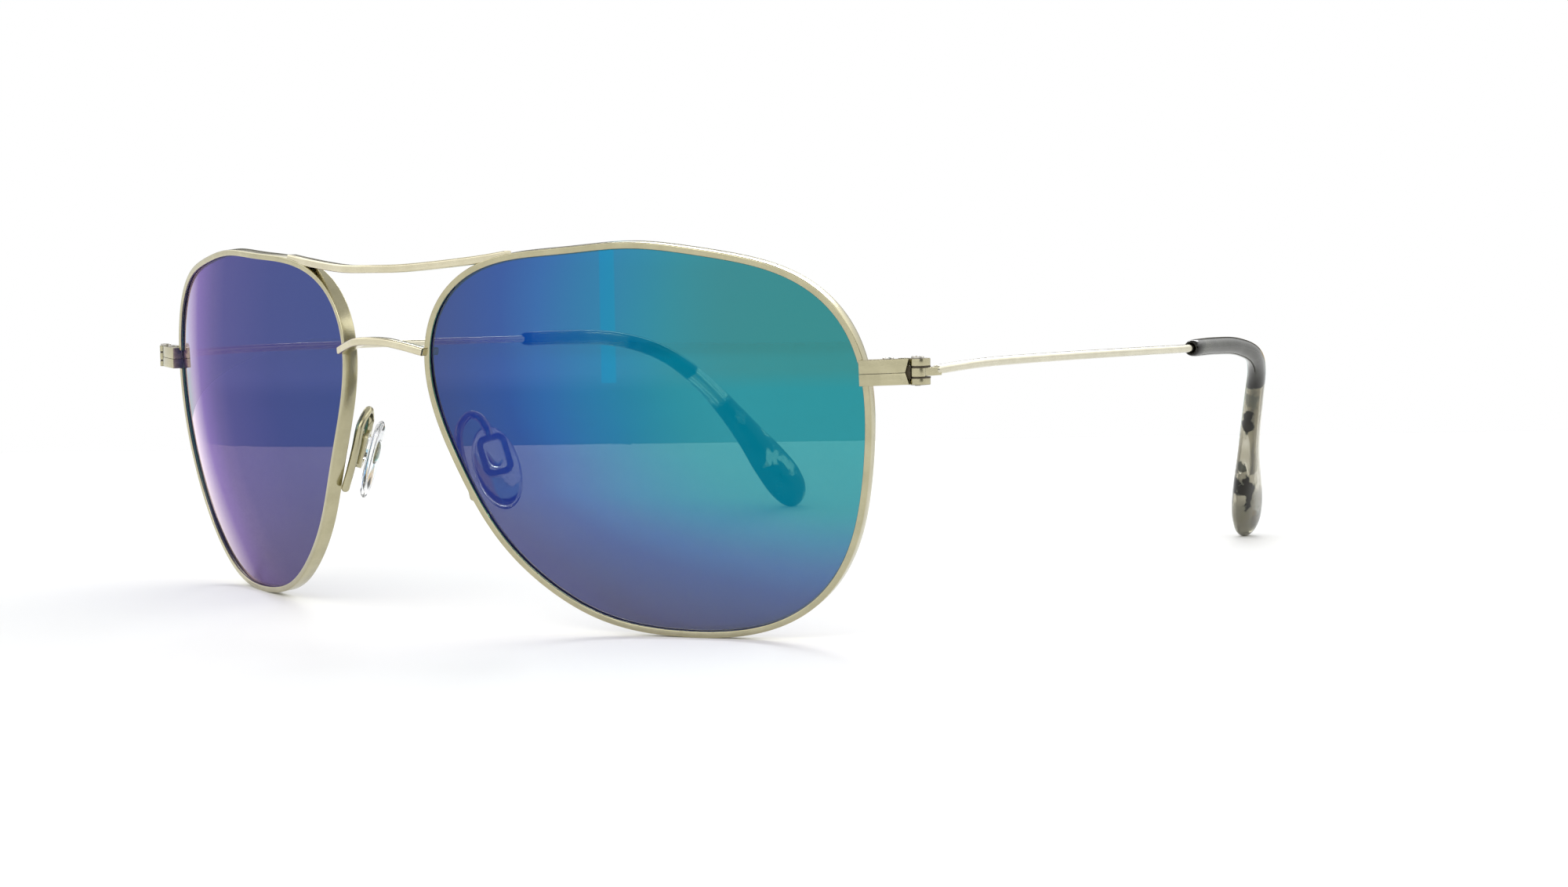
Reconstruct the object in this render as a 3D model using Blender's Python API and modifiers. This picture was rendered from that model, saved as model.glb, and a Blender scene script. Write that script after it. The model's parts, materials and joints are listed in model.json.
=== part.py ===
"""Aviator sunglasses: a wire front with two lenses, folding temples and rocking nose pads.

The glasses stand on the lower edge of both eyewires and on both temple tips, at Z = 0, with the
temples open. +Y points backwards, to the wearer, and +X to the wearer's left. Everything is placed
in the frame of the front: an empty half way between the lens centres. The left half is modelled,
and the right half is its mirror image.
"""

import math

import bmesh
import bpy
import numpy as np
from mathutils import Matrix, Vector

MM = 0.001

# The front's empty, which is half way between the lens centres
FRONT_Y = -68.24 * MM
FRONT_Z = 24.12 * MM

# Lens shape and how the lenses sit in the front
LENS_SPHERE = 100 * MM  # radius of the lens surfaces
LENS_CENTRE_X = 37.3 * MM
LENS_WRAP = math.radians(17.6)  # the temple side of each lens turns back
LENS_TILT = math.radians(6.95)  # the top of the front leans forward
LENS_THICKNESS = 1.3 * MM
LENS_RECESS = 0.3 * MM  # lens surface behind the eyewire's front edge
LENS_CLEARANCE = 0.06 * MM  # between the lens and the eyewire's lips
LENS_BEVEL = 0.26 * MM  # how far the lens edge reaches into the groove
# From the lens centre to the eyewire's inner edge, every 22.5 degrees, in millimetres: from the
# temple side over the top to the nose side and back along the bottom
OPENING_RADII = [
    28.8, 30.0, 28.0, 24.7, 24.1, 25.7, 30.8, 31.3, 26.3, 23.7, 22.8, 22.9, 23.6, 26.0, 28.8, 28.8
]
EDGE_STEPS = 64

# Eyewire section
RIM_WIDTH = 0.8 * MM
RIM_DEPTH = 1.9 * MM
RIM_CHAMFER = 0.12 * MM
GROOVE_DEPTH = 0.36 * MM
GROOVE_LIP = 0.32 * MM  # depth of the lip on either side of the groove
JOINT_GAP = 0.05 * MM  # gap where two metal pieces are soldered or screwed together
SPACE_INSIDE_RIM = 3.0 * MM  # width of the edge of the opening that soldered pieces stay out of

# Closing block: its frame starts at the lens edge and runs outwards along the block's front face.
# The outline is seen from above, in millimetres, and the heights are from the frame's origin.
BLOCK_PLACE = (64.0, 11.2, 9.0)
BLOCK_TURN = math.radians(23)
BLOCK_RISE = math.radians(2)
BLOCK_OUTLINE = [(-0.17, -0.15), (4.0, -0.29), (5.97, -0.14), (5.62, 0.7), (3.5, 1.6), (-0.1, 2.0)]
BLOCK_TOP = 1.6 * MM
BLOCK_SPLIT = -0.07 * MM
BLOCK_BOTTOM = -1.48 * MM
BLOCK_NOTCH = 0.5 * MM  # depth of the V in the block's rear edge

# Hinge: vertical screw, two fixed knuckles and the temple's eye between them
HINGE_PLACE = (70.0, 14.5, 9.13)
BARREL_RADIUS = 0.94 * MM
KNUCKLE_REACH = 1.55 * MM  # behind the screw's axis
KNUCKLE_UPPER = (0.77 * MM, 1.68 * MM)
KNUCKLE_LOWER = (-1.48 * MM, -0.68 * MM)
TONGUE_HEIGHT = 1.0 * MM
TONGUE_LIFT = 0.03 * MM  # middle of the tongue above the hinge's middle
TONGUE_WIDTH = 1.05 * MM
TONGUE_LENGTH = 4.0 * MM
SCREW_CLEARANCE = 0.06 * MM

# Screws
HINGE_SCREW_RADIUS = 0.4 * MM
HINGE_SCREW_HEAD = (0.76 * MM, 0.24 * MM)  # radius, height
HINGE_SCREW_END = 0.1 * MM  # proud of the lower knuckle
CLOSING_SCREW_PLACE = (3.3, 0.75)  # in the block's frame, in millimetres
CLOSING_SCREW_RADIUS = 0.35 * MM
CLOSING_SCREW_HEAD = (0.68 * MM, 0.16 * MM)
SCREW_SLOT = (0.3 * MM, 0.1 * MM)  # width, depth

# Brow bar and bridge, left half of each centre line from the middle outwards
BAR_HEIGHT = 1.05 * MM
BROW_DEPTH = 1.6 * MM
BROW_LINE = [
    (0.0, -7.15, 22.2),
    (5.0, -6.7, 22.25),
    (10.0, -5.45, 22.6),
    (16.0, -3.8, 23.2),
    (20.2, -3.0, 23.75),
]
BRIDGE_DEPTH = 1.8 * MM
BRIDGE_LINE = [(0.0, -7.6, 12.95), (2.6, -7.35, 12.8), (5.0, -6.6, 12.3), (7.7, -5.65, 11.55)]

# Nose pad, its box and its arm
PAD_BOX_CENTRE = (12.6, 2.0, -1.9)
PAD_UP = (-0.36, 0.0, 0.93)  # long axis of the pad
PAD_FACING = (-0.8, 0.6, 0.0)  # towards the side of the nose, before it is squared to PAD_UP
PAD_BOX_OUTER = (3.9 * MM, 5.4 * MM)
PAD_BOX_WALL = 0.75 * MM
PAD_BOX_THICKNESS = 0.9 * MM
PAD_DROP = 1.35 * MM  # middle of the pad below the box's centre
# Half width, half length and height of the ovals that make the stud and the pad, in millimetres,
# from the free end of the stud to the face that rests on the nose
PAD_STUD_OVALS = [(0.8, 1.5, -0.6), (0.98, 1.7, -0.4), (0.98, 1.7, 0.8)]
PAD_OVALS = [
    (1.9, 4.0, 0.85),
    (2.8, 5.2, 1.2),
    (3.0, 5.6, 1.55),
    (2.8, 5.3, 1.95),
    (1.9, 4.0, 2.25),
    (0.9, 1.9, 2.4),
]
PAD_ARM_RADIUS = 0.55 * MM
PAD_ARM_LINE = [
    (12.1, -1.9, -7.1),
    (11.2, -1.7, -4.6),
    (10.1, -1.65, -1.6),
    (9.5, -1.3, 1.3),
    (9.7, 0.3, 3.2),
    (10.6, 1.5, 2.8),
]

# Temple line from the hinge axis, left side, with the wire in front and the tip over its rear part
TEMPLE_LINE = [
    (0.22, 4.1, 0.2),
    (-0.3, 11.5, 0.45),
    (-1.0, 20.0, 0.54),
    (-2.0, 39.0, 0.42),
    (-3.3, 62.0, 0.15),
    (-4.1, 74.5, 0.0),
    (-5.4, 84.0, -0.05),
    (-6.6, 93.0, -0.45),
    (-7.9, 101.0, -1.95),
    (-10.3, 107.0, -4.75),
    (-13.4, 112.1, -9.45),
    (-16.8, 117.3, -16.3),
    (-20.2, 123.0, -24.6),
    (-23.0, 128.9, -32.68),
]
WIRE_RADIUS = 0.58 * MM
TIP_START = 70.4 * MM  # along the temple line
CORE_END = 128.0 * MM
TIP_BORE_RADIUS = 0.7 * MM
# Outer section of the tip: distance from its mouth, full width and full thickness, in millimetres
TIP_SECTIONS = [
    (0.0, 1.9, 1.9),
    (0.5, 2.3, 2.3),
    (2.0, 2.5, 2.5),
    (20.0, 2.65, 2.55),
    (30.0, 2.9, 2.65),
    (41.0, 3.5, 2.9),
    (49.0, 4.6, 3.0),
    (55.0, 5.9, 3.3),
    (61.0, 7.9, 3.9),
    (65.5, 8.5, 4.3),
    (68.7, 7.6, 3.9),
    (70.7, 5.4, 2.9),
    (71.5, 3.2, 1.8),
]
TIP_WIDE_DIRECTION = (0.0, 0.78, 0.63)
TIP_SIDES = 14

WELD = 1e-7


def remove_everything():
    for item in list(bpy.data.objects):
        bpy.data.objects.remove(item, do_unlink=True)


def make_collection(name):
    collection = bpy.data.collections.new(name)
    bpy.context.scene.collection.children.link(collection)
    return collection


def make_material(name, colour, roughness, metallic, transmission=0.0):
    material = bpy.data.materials.new(name)
    material.use_nodes = True
    shader = material.node_tree.nodes["Principled BSDF"]
    shader.inputs["Base Color"].default_value = (*colour, 1.0)
    shader.inputs["Roughness"].default_value = roughness
    shader.inputs["Metallic"].default_value = metallic
    shader.inputs["Transmission Weight"].default_value = transmission
    material.diffuse_color = (*colour, 1.0)
    return material


def millimetres(point):
    return Vector(point) * MM


def add_empty(name, parent, location, rotation=(0, 0, 0)):
    empty = bpy.data.objects.new(name, None)
    empty.parent = parent
    empty.location = location
    empty.rotation_euler = rotation
    empty.empty_display_size = 5 * MM
    pieces.objects.link(empty)
    return empty


def add_piece(name, mesh, parent, material, location=(0, 0, 0)):
    """One named solid of the object, smooth where its faces meet at a low angle."""
    piece = bpy.data.objects.new(name, mesh)
    piece.parent = parent
    piece.location = location
    mesh.materials.clear()
    mesh.materials.append(material)
    mesh.shade_smooth()
    mesh.set_sharp_from_angle(angle=math.radians(35))
    pieces.objects.link(piece)
    return piece


def add_cutter(name, mesh, parent):
    cutter = bpy.data.objects.new(name, mesh)
    cutter.parent = parent
    cutter.hide_render = True
    cutter.display_type = "WIRE"
    cutters.objects.link(cutter)
    return cutter


def cut(piece, cutter):
    modifier = piece.modifiers.new("Cut by " + cutter.name, "BOOLEAN")
    modifier.operation = "DIFFERENCE"
    modifier.solver = "EXACT"
    modifier.object = cutter


def evaluated_mesh(item):
    """The mesh that an object shows, with its modifiers, and with a curve's caps welded on."""
    bpy.context.view_layer.update()
    graph = bpy.context.evaluated_depsgraph_get()
    mesh = bpy.data.meshes.new_from_object(item.evaluated_get(graph), depsgraph=graph)
    shape = bmesh.new()
    shape.from_mesh(mesh)
    bmesh.ops.remove_doubles(shape, verts=shape.verts, dist=WELD)
    shape.to_mesh(mesh)
    shape.free()
    return mesh


def mesh_of_curve(curve, profile=None):
    holder = bpy.data.objects.new("curve", curve)
    bpy.context.scene.collection.objects.link(holder)
    mesh = evaluated_mesh(holder)
    bpy.data.objects.remove(holder)
    if profile is not None:
        bpy.data.objects.remove(profile)
    return mesh


def add_spline(curve, points, cyclic):
    spline = curve.splines.new("POLY")
    spline.points.add(len(points) - 1)
    for slot, point in zip(spline.points, points):
        slot.co = (*point, 1.0)
    spline.use_cyclic_u = cyclic


def round_wire(points, radius):
    """Tube with filled ends along a line."""
    curve = bpy.data.curves.new("wire", "CURVE")
    curve.dimensions = "3D"
    curve.bevel_depth = radius
    curve.bevel_resolution = 2
    curve.use_fill_caps = True
    add_spline(curve, points, cyclic=False)
    return mesh_of_curve(curve)


def section_sweep(points, section, cyclic):
    """Section drawn as (across, up) pairs, carried along a line with its up side kept to +Z."""
    outline = bpy.data.curves.new("section", "CURVE")
    outline.dimensions = "2D"
    add_spline(outline, [(across, up, 0.0) for across, up in section], cyclic=True)
    profile = bpy.data.objects.new("section", outline)
    bpy.context.scene.collection.objects.link(profile)
    curve = bpy.data.curves.new("sweep", "CURVE")
    curve.dimensions = "3D"
    curve.twist_mode = "Z_UP"
    curve.bevel_mode = "OBJECT"
    curve.bevel_object = profile
    curve.use_fill_caps = not cyclic
    add_spline(curve, points, cyclic)
    return facing_out(mesh_of_curve(curve, profile))


def extruded(outlines, bottom, top):
    """Plate between two heights: the first outline is its edge, and the others are holes in it."""
    curve = bpy.data.curves.new("plate", "CURVE")
    curve.dimensions = "2D"
    curve.fill_mode = "BOTH"
    curve.extrude = (top - bottom) / 2
    for outline in outlines:
        add_spline(curve, [(x, y, 0.0) for x, y in outline], cyclic=True)
    mesh = mesh_of_curve(curve)
    mesh.transform(Matrix.Translation((0, 0, (top + bottom) / 2)))
    return facing_out(mesh)


def turned(profile, steps=16):
    """Solid of revolution about Z: the profile's (radius, height) points run from top to bottom."""
    mesh = bpy.data.meshes.new("turned")
    points = [(radius, 0.0, height) for radius, height in profile]
    mesh.from_pydata(points, [(i, i + 1) for i in range(len(points) - 1)], [])
    holder = bpy.data.objects.new("turned", mesh)
    bpy.context.scene.collection.objects.link(holder)
    screw = holder.modifiers.new("Screw", "SCREW")
    screw.steps = steps
    screw.render_steps = steps
    screw.use_merge_vertices = True
    screw.merge_threshold = WELD
    solid = evaluated_mesh(holder)
    bpy.data.objects.remove(holder)
    return facing_out(solid)


def loft(rings):
    """Closed body through rings of equal count, with the first and last ring filled."""
    shape = bmesh.new()
    loops = [[shape.verts.new(point) for point in ring] for ring in rings]
    count = len(loops[0])
    for lower, upper in zip(loops, loops[1:]):
        for i in range(count):
            j = (i + 1) % count
            shape.faces.new((lower[i], lower[j], upper[j], upper[i]))
    shape.faces.new(reversed(loops[0]))
    shape.faces.new(loops[-1])
    mesh = bpy.data.meshes.new("loft")
    shape.to_mesh(mesh)
    shape.free()
    return facing_out(mesh)


def box(size, centre):
    shape = bmesh.new()
    bmesh.ops.create_cube(shape, size=1.0)
    bmesh.ops.scale(shape, vec=size, verts=shape.verts)
    bmesh.ops.translate(shape, vec=centre, verts=shape.verts)
    mesh = bpy.data.meshes.new("box")
    shape.to_mesh(mesh)
    shape.free()
    return mesh


def facing_out(mesh):
    shape = bmesh.new()
    shape.from_mesh(mesh)
    bmesh.ops.recalc_face_normals(shape, faces=shape.faces)
    shape.to_mesh(mesh)
    shape.free()
    return mesh


def smooth_line(controls, spacing):
    """Evenly spaced points on a Catmull-Rom curve through the control points."""
    knots = [np.array(point, float) for point in controls]
    knots = [2 * knots[0] - knots[1], *knots, 2 * knots[-1] - knots[-2]]
    dense = []
    for a, b, c, d in zip(knots, knots[1:], knots[2:], knots[3:]):
        for t in np.linspace(0, 1, 24, endpoint=False):
            cubic = (3 * b - a - 3 * c + d) * t**3 + (2 * a - 5 * b + 4 * c - d) * t**2
            dense.append(0.5 * (cubic + (c - a) * t + 2 * b))
    dense.append(knots[-2])
    dense = np.array(dense)
    travelled = np.concatenate([[0], np.cumsum(np.linalg.norm(np.diff(dense, axis=0), axis=1))])
    count = max(2, round(travelled[-1] / spacing) + 1)
    stops = np.linspace(0, travelled[-1], count)
    return np.stack([np.interp(stops, travelled, dense[:, axis]) for axis in range(3)], axis=1)


def circle(radius, centre=(0.0, 0.0), steps=16, start=0.0, turn=2 * math.pi):
    """Points on a circle, or on an arc of it, about a centre."""
    whole = math.isclose(turn, 2 * math.pi)
    angles = [start + turn * i / (steps if whole else steps - 1) for i in range(steps)]
    return [(centre[0] + radius * math.cos(a), centre[1] + radius * math.sin(a)) for a in angles]


def rounded_rectangle(width, height, radius, steps=4):
    corners = [(1, 1), (-1, 1), (-1, -1), (1, -1)]
    outline = []
    for quarter, (side_x, side_y) in enumerate(corners):
        centre = (side_x * (width / 2 - radius), side_y * (height / 2 - radius))
        outline += circle(radius, centre, steps, quarter * math.pi / 2, math.pi / 2)
    return outline


def opening_radius(angle):
    """Radius of the lens opening: the smooth periodic curve through OPENING_RADII."""
    count = len(OPENING_RADII)
    total = 0.0
    for i, radius in enumerate(OPENING_RADII):
        offset = angle - 2 * math.pi * i / count
        half = math.tan(offset / 2)
        weight = 1.0 if abs(half) < 1e-9 else math.sin(count * offset / 2) / (count * half)
        total += weight * radius
    return total * MM


def lens_ring(share, grow, depth):
    """Ring on the lens sphere in the lens frame: X to the temple, Y up, Z out of the front.

    share scales the opening, grow is added to its radius, and depth is how far the ring lies
    behind the eyewire's front edge.
    """
    ring = []
    for i in range(EDGE_STEPS):
        angle = 2 * math.pi * i / EDGE_STEPS
        radius = opening_radius(angle) * share + grow
        sag = LENS_SPHERE - math.sqrt(LENS_SPHERE**2 - radius**2)
        ring.append((radius * math.cos(angle), radius * math.sin(angle), -sag - depth))
    return ring


def lens_mesh(grow):
    """Lens with a V-shaped edge, grown by a clearance on all sides."""
    front = LENS_RECESS - grow
    back = LENS_RECESS + LENS_THICKNESS + grow
    middle = (front + back) / 2
    inside = grow - LENS_CLEARANCE
    lands = 0.12 * MM
    return loft(
        [
            lens_ring(0.3, 0.0, front),
            lens_ring(0.7, 0.0, front),
            lens_ring(1.0, inside, front),
            lens_ring(1.0, inside, front + lands),
            lens_ring(1.0, LENS_BEVEL + grow, middle),
            lens_ring(1.0, inside, back - lands),
            lens_ring(1.0, inside, back),
            lens_ring(0.7, 0.0, back),
            lens_ring(0.3, 0.0, back),
        ]
    )


def rim_section():
    """Eyewire section as (outward, forward) pairs, from the front edge of the opening."""
    outer = RIM_WIDTH
    back = -RIM_DEPTH
    c = RIM_CHAMFER
    outside = [(c, 0.0), (outer - c, 0.0), (outer, -c), (outer, back + c), (outer - c, back), (c, back)]
    groove = [(0.0, back + GROOVE_LIP), (GROOVE_DEPTH, back / 2), (0.0, -GROOVE_LIP)]
    return outside + [(0.0, back + c)] + groove + [(0.0, -c)]


def clearance_section():
    """Section of the space that pieces soldered to the eyewire leave free."""
    outer = RIM_WIDTH + JOINT_GAP
    back = -RIM_DEPTH - JOINT_GAP
    return [(-SPACE_INSIDE_RIM, JOINT_GAP), (outer, JOINT_GAP), (outer, back), (-SPACE_INSIDE_RIM, back)]


def mirrored_line(half_line):
    """Whole line across the middle from its left half, which starts in the middle."""
    left = [np.array(point) for point in half_line]
    right = [point * (-1, 1, 1) for point in reversed(left[1:])]
    return right + left


def build_rim_and_lens():
    mesh = section_sweep(lens_ring(1.0, 0.0, 0.0), rim_section(), cyclic=True)
    rim = add_piece("rim_left", mesh, lens_frame, metal)
    mesh = section_sweep(lens_ring(1.0, 0.0, 0.0), clearance_section(), cyclic=True)
    solder_cutter = add_cutter("rim_clearance", mesh, lens_frame)
    height = BLOCK_TOP - BLOCK_BOTTOM + 2 * JOINT_GAP
    gap = box((12 * MM, 12 * MM, height), (0, 0, (BLOCK_TOP + BLOCK_BOTTOM) / 2))
    cut(rim, add_cutter("rim_gap", gap, block_frame))
    add_piece("lens_left", lens_mesh(0.0), lens_frame, lens_tint)
    return solder_cutter


def build_block():
    """Upper and lower half of the closing block, which holds the eyewire shut round the lens."""
    lens_cutter = add_cutter("lens_clearance", lens_mesh(LENS_CLEARANCE), lens_frame)
    outline = [(x * MM, y * MM) for x, y in BLOCK_OUTLINE]
    screw_x, screw_y = CLOSING_SCREW_PLACE
    hole = circle(CLOSING_SCREW_RADIUS + SCREW_CLEARANCE, (screw_x * MM, screw_y * MM), steps=12)
    half_diagonal = math.sqrt(0.5)
    notch = box((1.0, 4 * MM, 1.0), (0, 0, 0))
    notch.transform(Matrix.Rotation(math.radians(45), 4, "Y"))
    half_height = BLOCK_TOP - BLOCK_SPLIT
    notch.transform(Matrix.Diagonal((BLOCK_NOTCH / half_diagonal, 1.0, half_height / half_diagonal, 1.0)))
    notch.transform(Matrix.Translation((outline[2][0], outline[2][1], BLOCK_SPLIT)))
    notch_cutter = add_cutter("block_notch", notch, block_frame)
    halves = {
        "endpiece_upper_left": (BLOCK_SPLIT + JOINT_GAP / 2, BLOCK_TOP),
        "endpiece_lower_left": (BLOCK_BOTTOM, BLOCK_SPLIT - JOINT_GAP / 2),
    }
    for name, (bottom, top) in halves.items():
        half = add_piece(name, extruded([outline, hole], bottom, top), block_frame, metal)
        cut(half, lens_cutter)
        cut(half, notch_cutter)


def knuckle_outline():
    """Fixed knuckle from above: a barrel with a tail behind it and a web to the block in front."""
    outline = [(-2.6 * MM, -0.33 * MM), (-1.05 * MM, -0.33 * MM), (-0.72 * MM, -0.6 * MM)]
    outline += circle(BARREL_RADIUS, steps=8, start=math.radians(225), turn=math.radians(135))
    outline += [
        (BARREL_RADIUS, KNUCKLE_REACH - 0.25 * MM),
        (BARREL_RADIUS - 0.25 * MM, KNUCKLE_REACH),
        (-BARREL_RADIUS + 0.25 * MM, KNUCKLE_REACH),
        (-BARREL_RADIUS, KNUCKLE_REACH - 0.25 * MM),
        (-1.3 * MM, 0.75 * MM),
        (-2.6 * MM, 0.5 * MM),
    ]
    return outline


def build_hinge():
    hole = circle(HINGE_SCREW_RADIUS + SCREW_CLEARANCE, steps=12)
    for name, (bottom, top) in {
        "hinge_knuckle_upper_left": KNUCKLE_UPPER,
        "hinge_knuckle_lower_left": KNUCKLE_LOWER,
    }.items():
        add_piece(name, extruded([knuckle_outline(), hole], bottom, top), hinge_axis, metal)
    half = TONGUE_WIDTH / 2
    join = math.sqrt(BARREL_RADIUS**2 - half**2)
    first = math.atan2(join, -half)
    outline = circle(BARREL_RADIUS, steps=14, start=first, turn=2 * math.pi - 2 * (first - math.pi / 2))
    outline += [(half + 0.2 * MM, TONGUE_LENGTH), (-half + 0.2 * MM, TONGUE_LENGTH)]
    bottom = TONGUE_LIFT - TONGUE_HEIGHT / 2
    mesh = extruded([outline, hole], bottom, bottom + TONGUE_HEIGHT)
    add_piece("temple_tongue_left", mesh, temple_axis, metal)


def screw_mesh(radius, head, shank_top, shank_end):
    """Cheese-head screw with a slot, head up."""
    head_radius, head_height = head
    top = shank_top + head_height
    chamfer = 0.08 * MM
    mesh = turned(
        [
            (0.0, top),
            (head_radius - chamfer, top),
            (head_radius, top - chamfer),
            (head_radius, shank_top),
            (radius, shank_top),
            (radius, shank_end + chamfer),
            (radius - chamfer, shank_end),
            (0.0, shank_end),
        ]
    )
    return mesh


def build_screws():
    """Hinge screw and closing screw, each with its head on the piece that it holds down."""
    seat = JOINT_GAP / 2
    closing_x, closing_y = CLOSING_SCREW_PLACE
    screws = [
        ("hinge_screw_left", hinge_axis, (0, 0, 0), HINGE_SCREW_RADIUS, HINGE_SCREW_HEAD),
        (
            "closing_screw_left",
            block_frame,
            (closing_x * MM, closing_y * MM, 0),
            CLOSING_SCREW_RADIUS,
            CLOSING_SCREW_HEAD,
        ),
    ]
    heights = [(KNUCKLE_UPPER[1], KNUCKLE_LOWER[0] - HINGE_SCREW_END), (BLOCK_TOP, BLOCK_BOTTOM + 0.1 * MM)]
    for (name, parent, place, radius, head), (under_head, end) in zip(screws, heights):
        mesh = screw_mesh(radius, head, under_head + seat, end)
        screw = add_piece(name, mesh, parent, screw_steel, place)
        slot_width, slot_depth = SCREW_SLOT
        top = under_head + seat + head[1]
        slot = box((slot_width, 4 * MM, 2 * slot_depth), (0, 0, top))
        slot.transform(Matrix.Rotation(math.radians(25), 4, "Z"))
        slot.transform(Matrix.Translation(place))
        cut(screw, add_cutter(name + "_slot", slot, parent))


def build_bars(rim_cutters):
    """Brow bar and bridge, cut to lie against both eyewires."""
    bars = {"brow_bar": (BROW_LINE, BROW_DEPTH), "bridge": (BRIDGE_LINE, BRIDGE_DEPTH)}
    for name, (half_line, depth) in bars.items():
        line = smooth_line(mirrored_line(half_line), 1.5) * MM
        section = rounded_rectangle(depth, BAR_HEIGHT, 0.3 * MM, steps=3)
        bar = add_piece(name, section_sweep(line, section, cyclic=False), front, metal)
        for cutter in rim_cutters:
            cut(bar, cutter)


def build_pad(rim_cutter):
    """Pad arm and box on the front, and the clear pad that rocks in the box."""
    width, length = PAD_BOX_OUTER
    inner = (width - 2 * PAD_BOX_WALL, length - 2 * PAD_BOX_WALL)
    outlines = [rounded_rectangle(width, length, 1.2 * MM), rounded_rectangle(*inner, 0.6 * MM)]
    ring = extruded(outlines, -PAD_BOX_THICKNESS / 2, PAD_BOX_THICKNESS / 2)
    add_piece("pad_box_left", ring, pad_frame, metal)
    end = pad_frame.matrix_local @ Vector((0, length / 2 + JOINT_GAP, 0))
    above = pad_frame.matrix_local @ Vector((0, length / 2 + 0.7 * MM, 0))
    controls = PAD_ARM_LINE + [tuple(above / MM), tuple(end / MM)]
    wire = round_wire(smooth_line(controls, 0.8) * MM, PAD_ARM_RADIUS)
    cut(add_piece("pad_arm_left", wire, front, metal), rim_cutter)
    rings = []
    for ovals, drop in ((PAD_STUD_OVALS, 0.0), (PAD_OVALS, -PAD_DROP)):
        for half_width, half_length, height in ovals:
            ring = circle(1.0, steps=20)
            rings.append([(x * half_width * MM, y * half_length * MM + drop, height * MM) for x, y in ring])
    add_piece("nose_pad_left", loft(rings), pad_frame, clear_pad)


def section_ring(centre, tangent, width, thickness):
    """Oval across a line, with its wide side towards TIP_WIDE_DIRECTION."""
    tangent = Vector(tangent).normalized()
    wide = Vector(TIP_WIDE_DIRECTION)
    wide = (wide - tangent * wide.dot(tangent)).normalized()
    thin = tangent.cross(wide)
    ring = []
    for x, y in circle(0.5, steps=TIP_SIDES):
        ring.append(Vector(centre) + wide * (x * width) + thin * (y * thickness))
    return ring


def build_temple():
    line = smooth_line(TEMPLE_LINE, 0.5) * MM
    travelled = np.concatenate([[0], np.cumsum(np.linalg.norm(np.diff(line, axis=0), axis=1))])
    tangents = np.gradient(line, axis=0)

    def at(distance):
        place = [np.interp(distance, travelled, line[:, axis]) for axis in range(3)]
        heading = [np.interp(distance, travelled, tangents[:, axis]) for axis in range(3)]
        return Vector(place), Vector(heading)

    wire_stops = np.concatenate([np.linspace(0, TIP_START, 14), np.linspace(TIP_START, CORE_END, 24)[1:]])
    wire_line = [at(stop)[0] for stop in wire_stops]
    add_piece("temple_wire_left", round_wire(wire_line, WIRE_RADIUS), temple_axis, metal)

    bore_end = CORE_END + 0.5 * MM
    bore = 2 * TIP_BORE_RADIUS
    rings = []
    for stop in np.linspace(bore_end, TIP_START, 16):
        rings.append(section_ring(*at(stop), bore, bore))
    distances, widths, thicknesses = (np.array(column) * MM for column in zip(*TIP_SECTIONS))
    length = travelled[-1] - TIP_START
    even_stops = np.arange(5, 64, 3.0) * MM
    stops = np.unique(np.concatenate([distances[:3], even_stops, distances[-4:]]))
    for stop in stops[stops <= distances[-1]]:
        width = np.interp(stop, distances, widths)
        thickness = np.interp(stop, distances, thicknesses)
        rings.append(section_ring(*at(TIP_START + min(stop, length)), width, thickness))
    add_piece("temple_tip_left", loft(rings), temple_axis, tip_acetate)


def mirror_to_the_right():
    """Right-hand twin of each left-hand piece and of the empty that it hangs from."""
    flip = Matrix.Diagonal((-1, 1, 1, 1))
    bpy.context.view_layer.update()
    originals = [item for item in pieces.objects if item.name.endswith("_left")]
    twins = {}
    for item in originals:
        name = item.name.removesuffix("_left") + "_right"
        if item.type == "EMPTY":
            twin = bpy.data.objects.new(name, None)
            twin.empty_display_size = item.empty_display_size
        else:
            mesh = evaluated_mesh(item)
            mesh.transform(flip)
            mesh.flip_normals()
            twin = bpy.data.objects.new(name, mesh)
        twins[item] = twin
        pieces.objects.link(twin)
    for item, twin in twins.items():
        twin.parent = twins.get(item.parent, item.parent)
        twin.matrix_basis = flip @ item.matrix_basis @ flip


remove_everything()
pieces = make_collection("aviator_sunglasses")
cutters = make_collection("cutters")

metal = make_material("frame_metal", (0.80, 0.77, 0.68), 0.25, 1.0)
screw_steel = make_material("screw_steel", (0.62, 0.61, 0.58), 0.3, 1.0)
lens_tint = make_material("lens_tint", (0.07, 0.16, 0.42), 0.04, 0.3)
clear_pad = make_material("clear_pad", (0.85, 0.88, 0.90), 0.12, 0.0, transmission=0.9)
tip_acetate = make_material("tip_acetate", (0.14, 0.13, 0.10), 0.18, 0.0)

front = add_empty("front", None, (0, FRONT_Y, FRONT_Z))
lens_turn = (
    Matrix.Rotation(LENS_TILT, 3, "X")
    @ Matrix.Rotation(LENS_WRAP, 3, "Z")
    @ Matrix.Rotation(math.radians(90), 3, "X")
)
lens_frame = add_empty("lens_frame_left", front, (LENS_CENTRE_X, 0, 0), lens_turn.to_euler())
block_frame = add_empty("block_frame_left", front, millimetres(BLOCK_PLACE), (0, -BLOCK_RISE, BLOCK_TURN))
hinge_axis = add_empty("hinge_axis_left", front, millimetres(HINGE_PLACE))
temple_axis = add_empty("temple_axis_left", front, millimetres(HINGE_PLACE))
pad_up = Vector(PAD_UP).normalized()
pad_facing = Vector(PAD_FACING)
pad_facing = (pad_facing - pad_up * pad_facing.dot(pad_up)).normalized()
pad_turn = Matrix((pad_up.cross(pad_facing), pad_up, pad_facing)).transposed()
pad_frame = add_empty("pad_frame_left", front, millimetres(PAD_BOX_CENTRE), pad_turn.to_euler())
bpy.context.view_layer.update()

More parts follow.
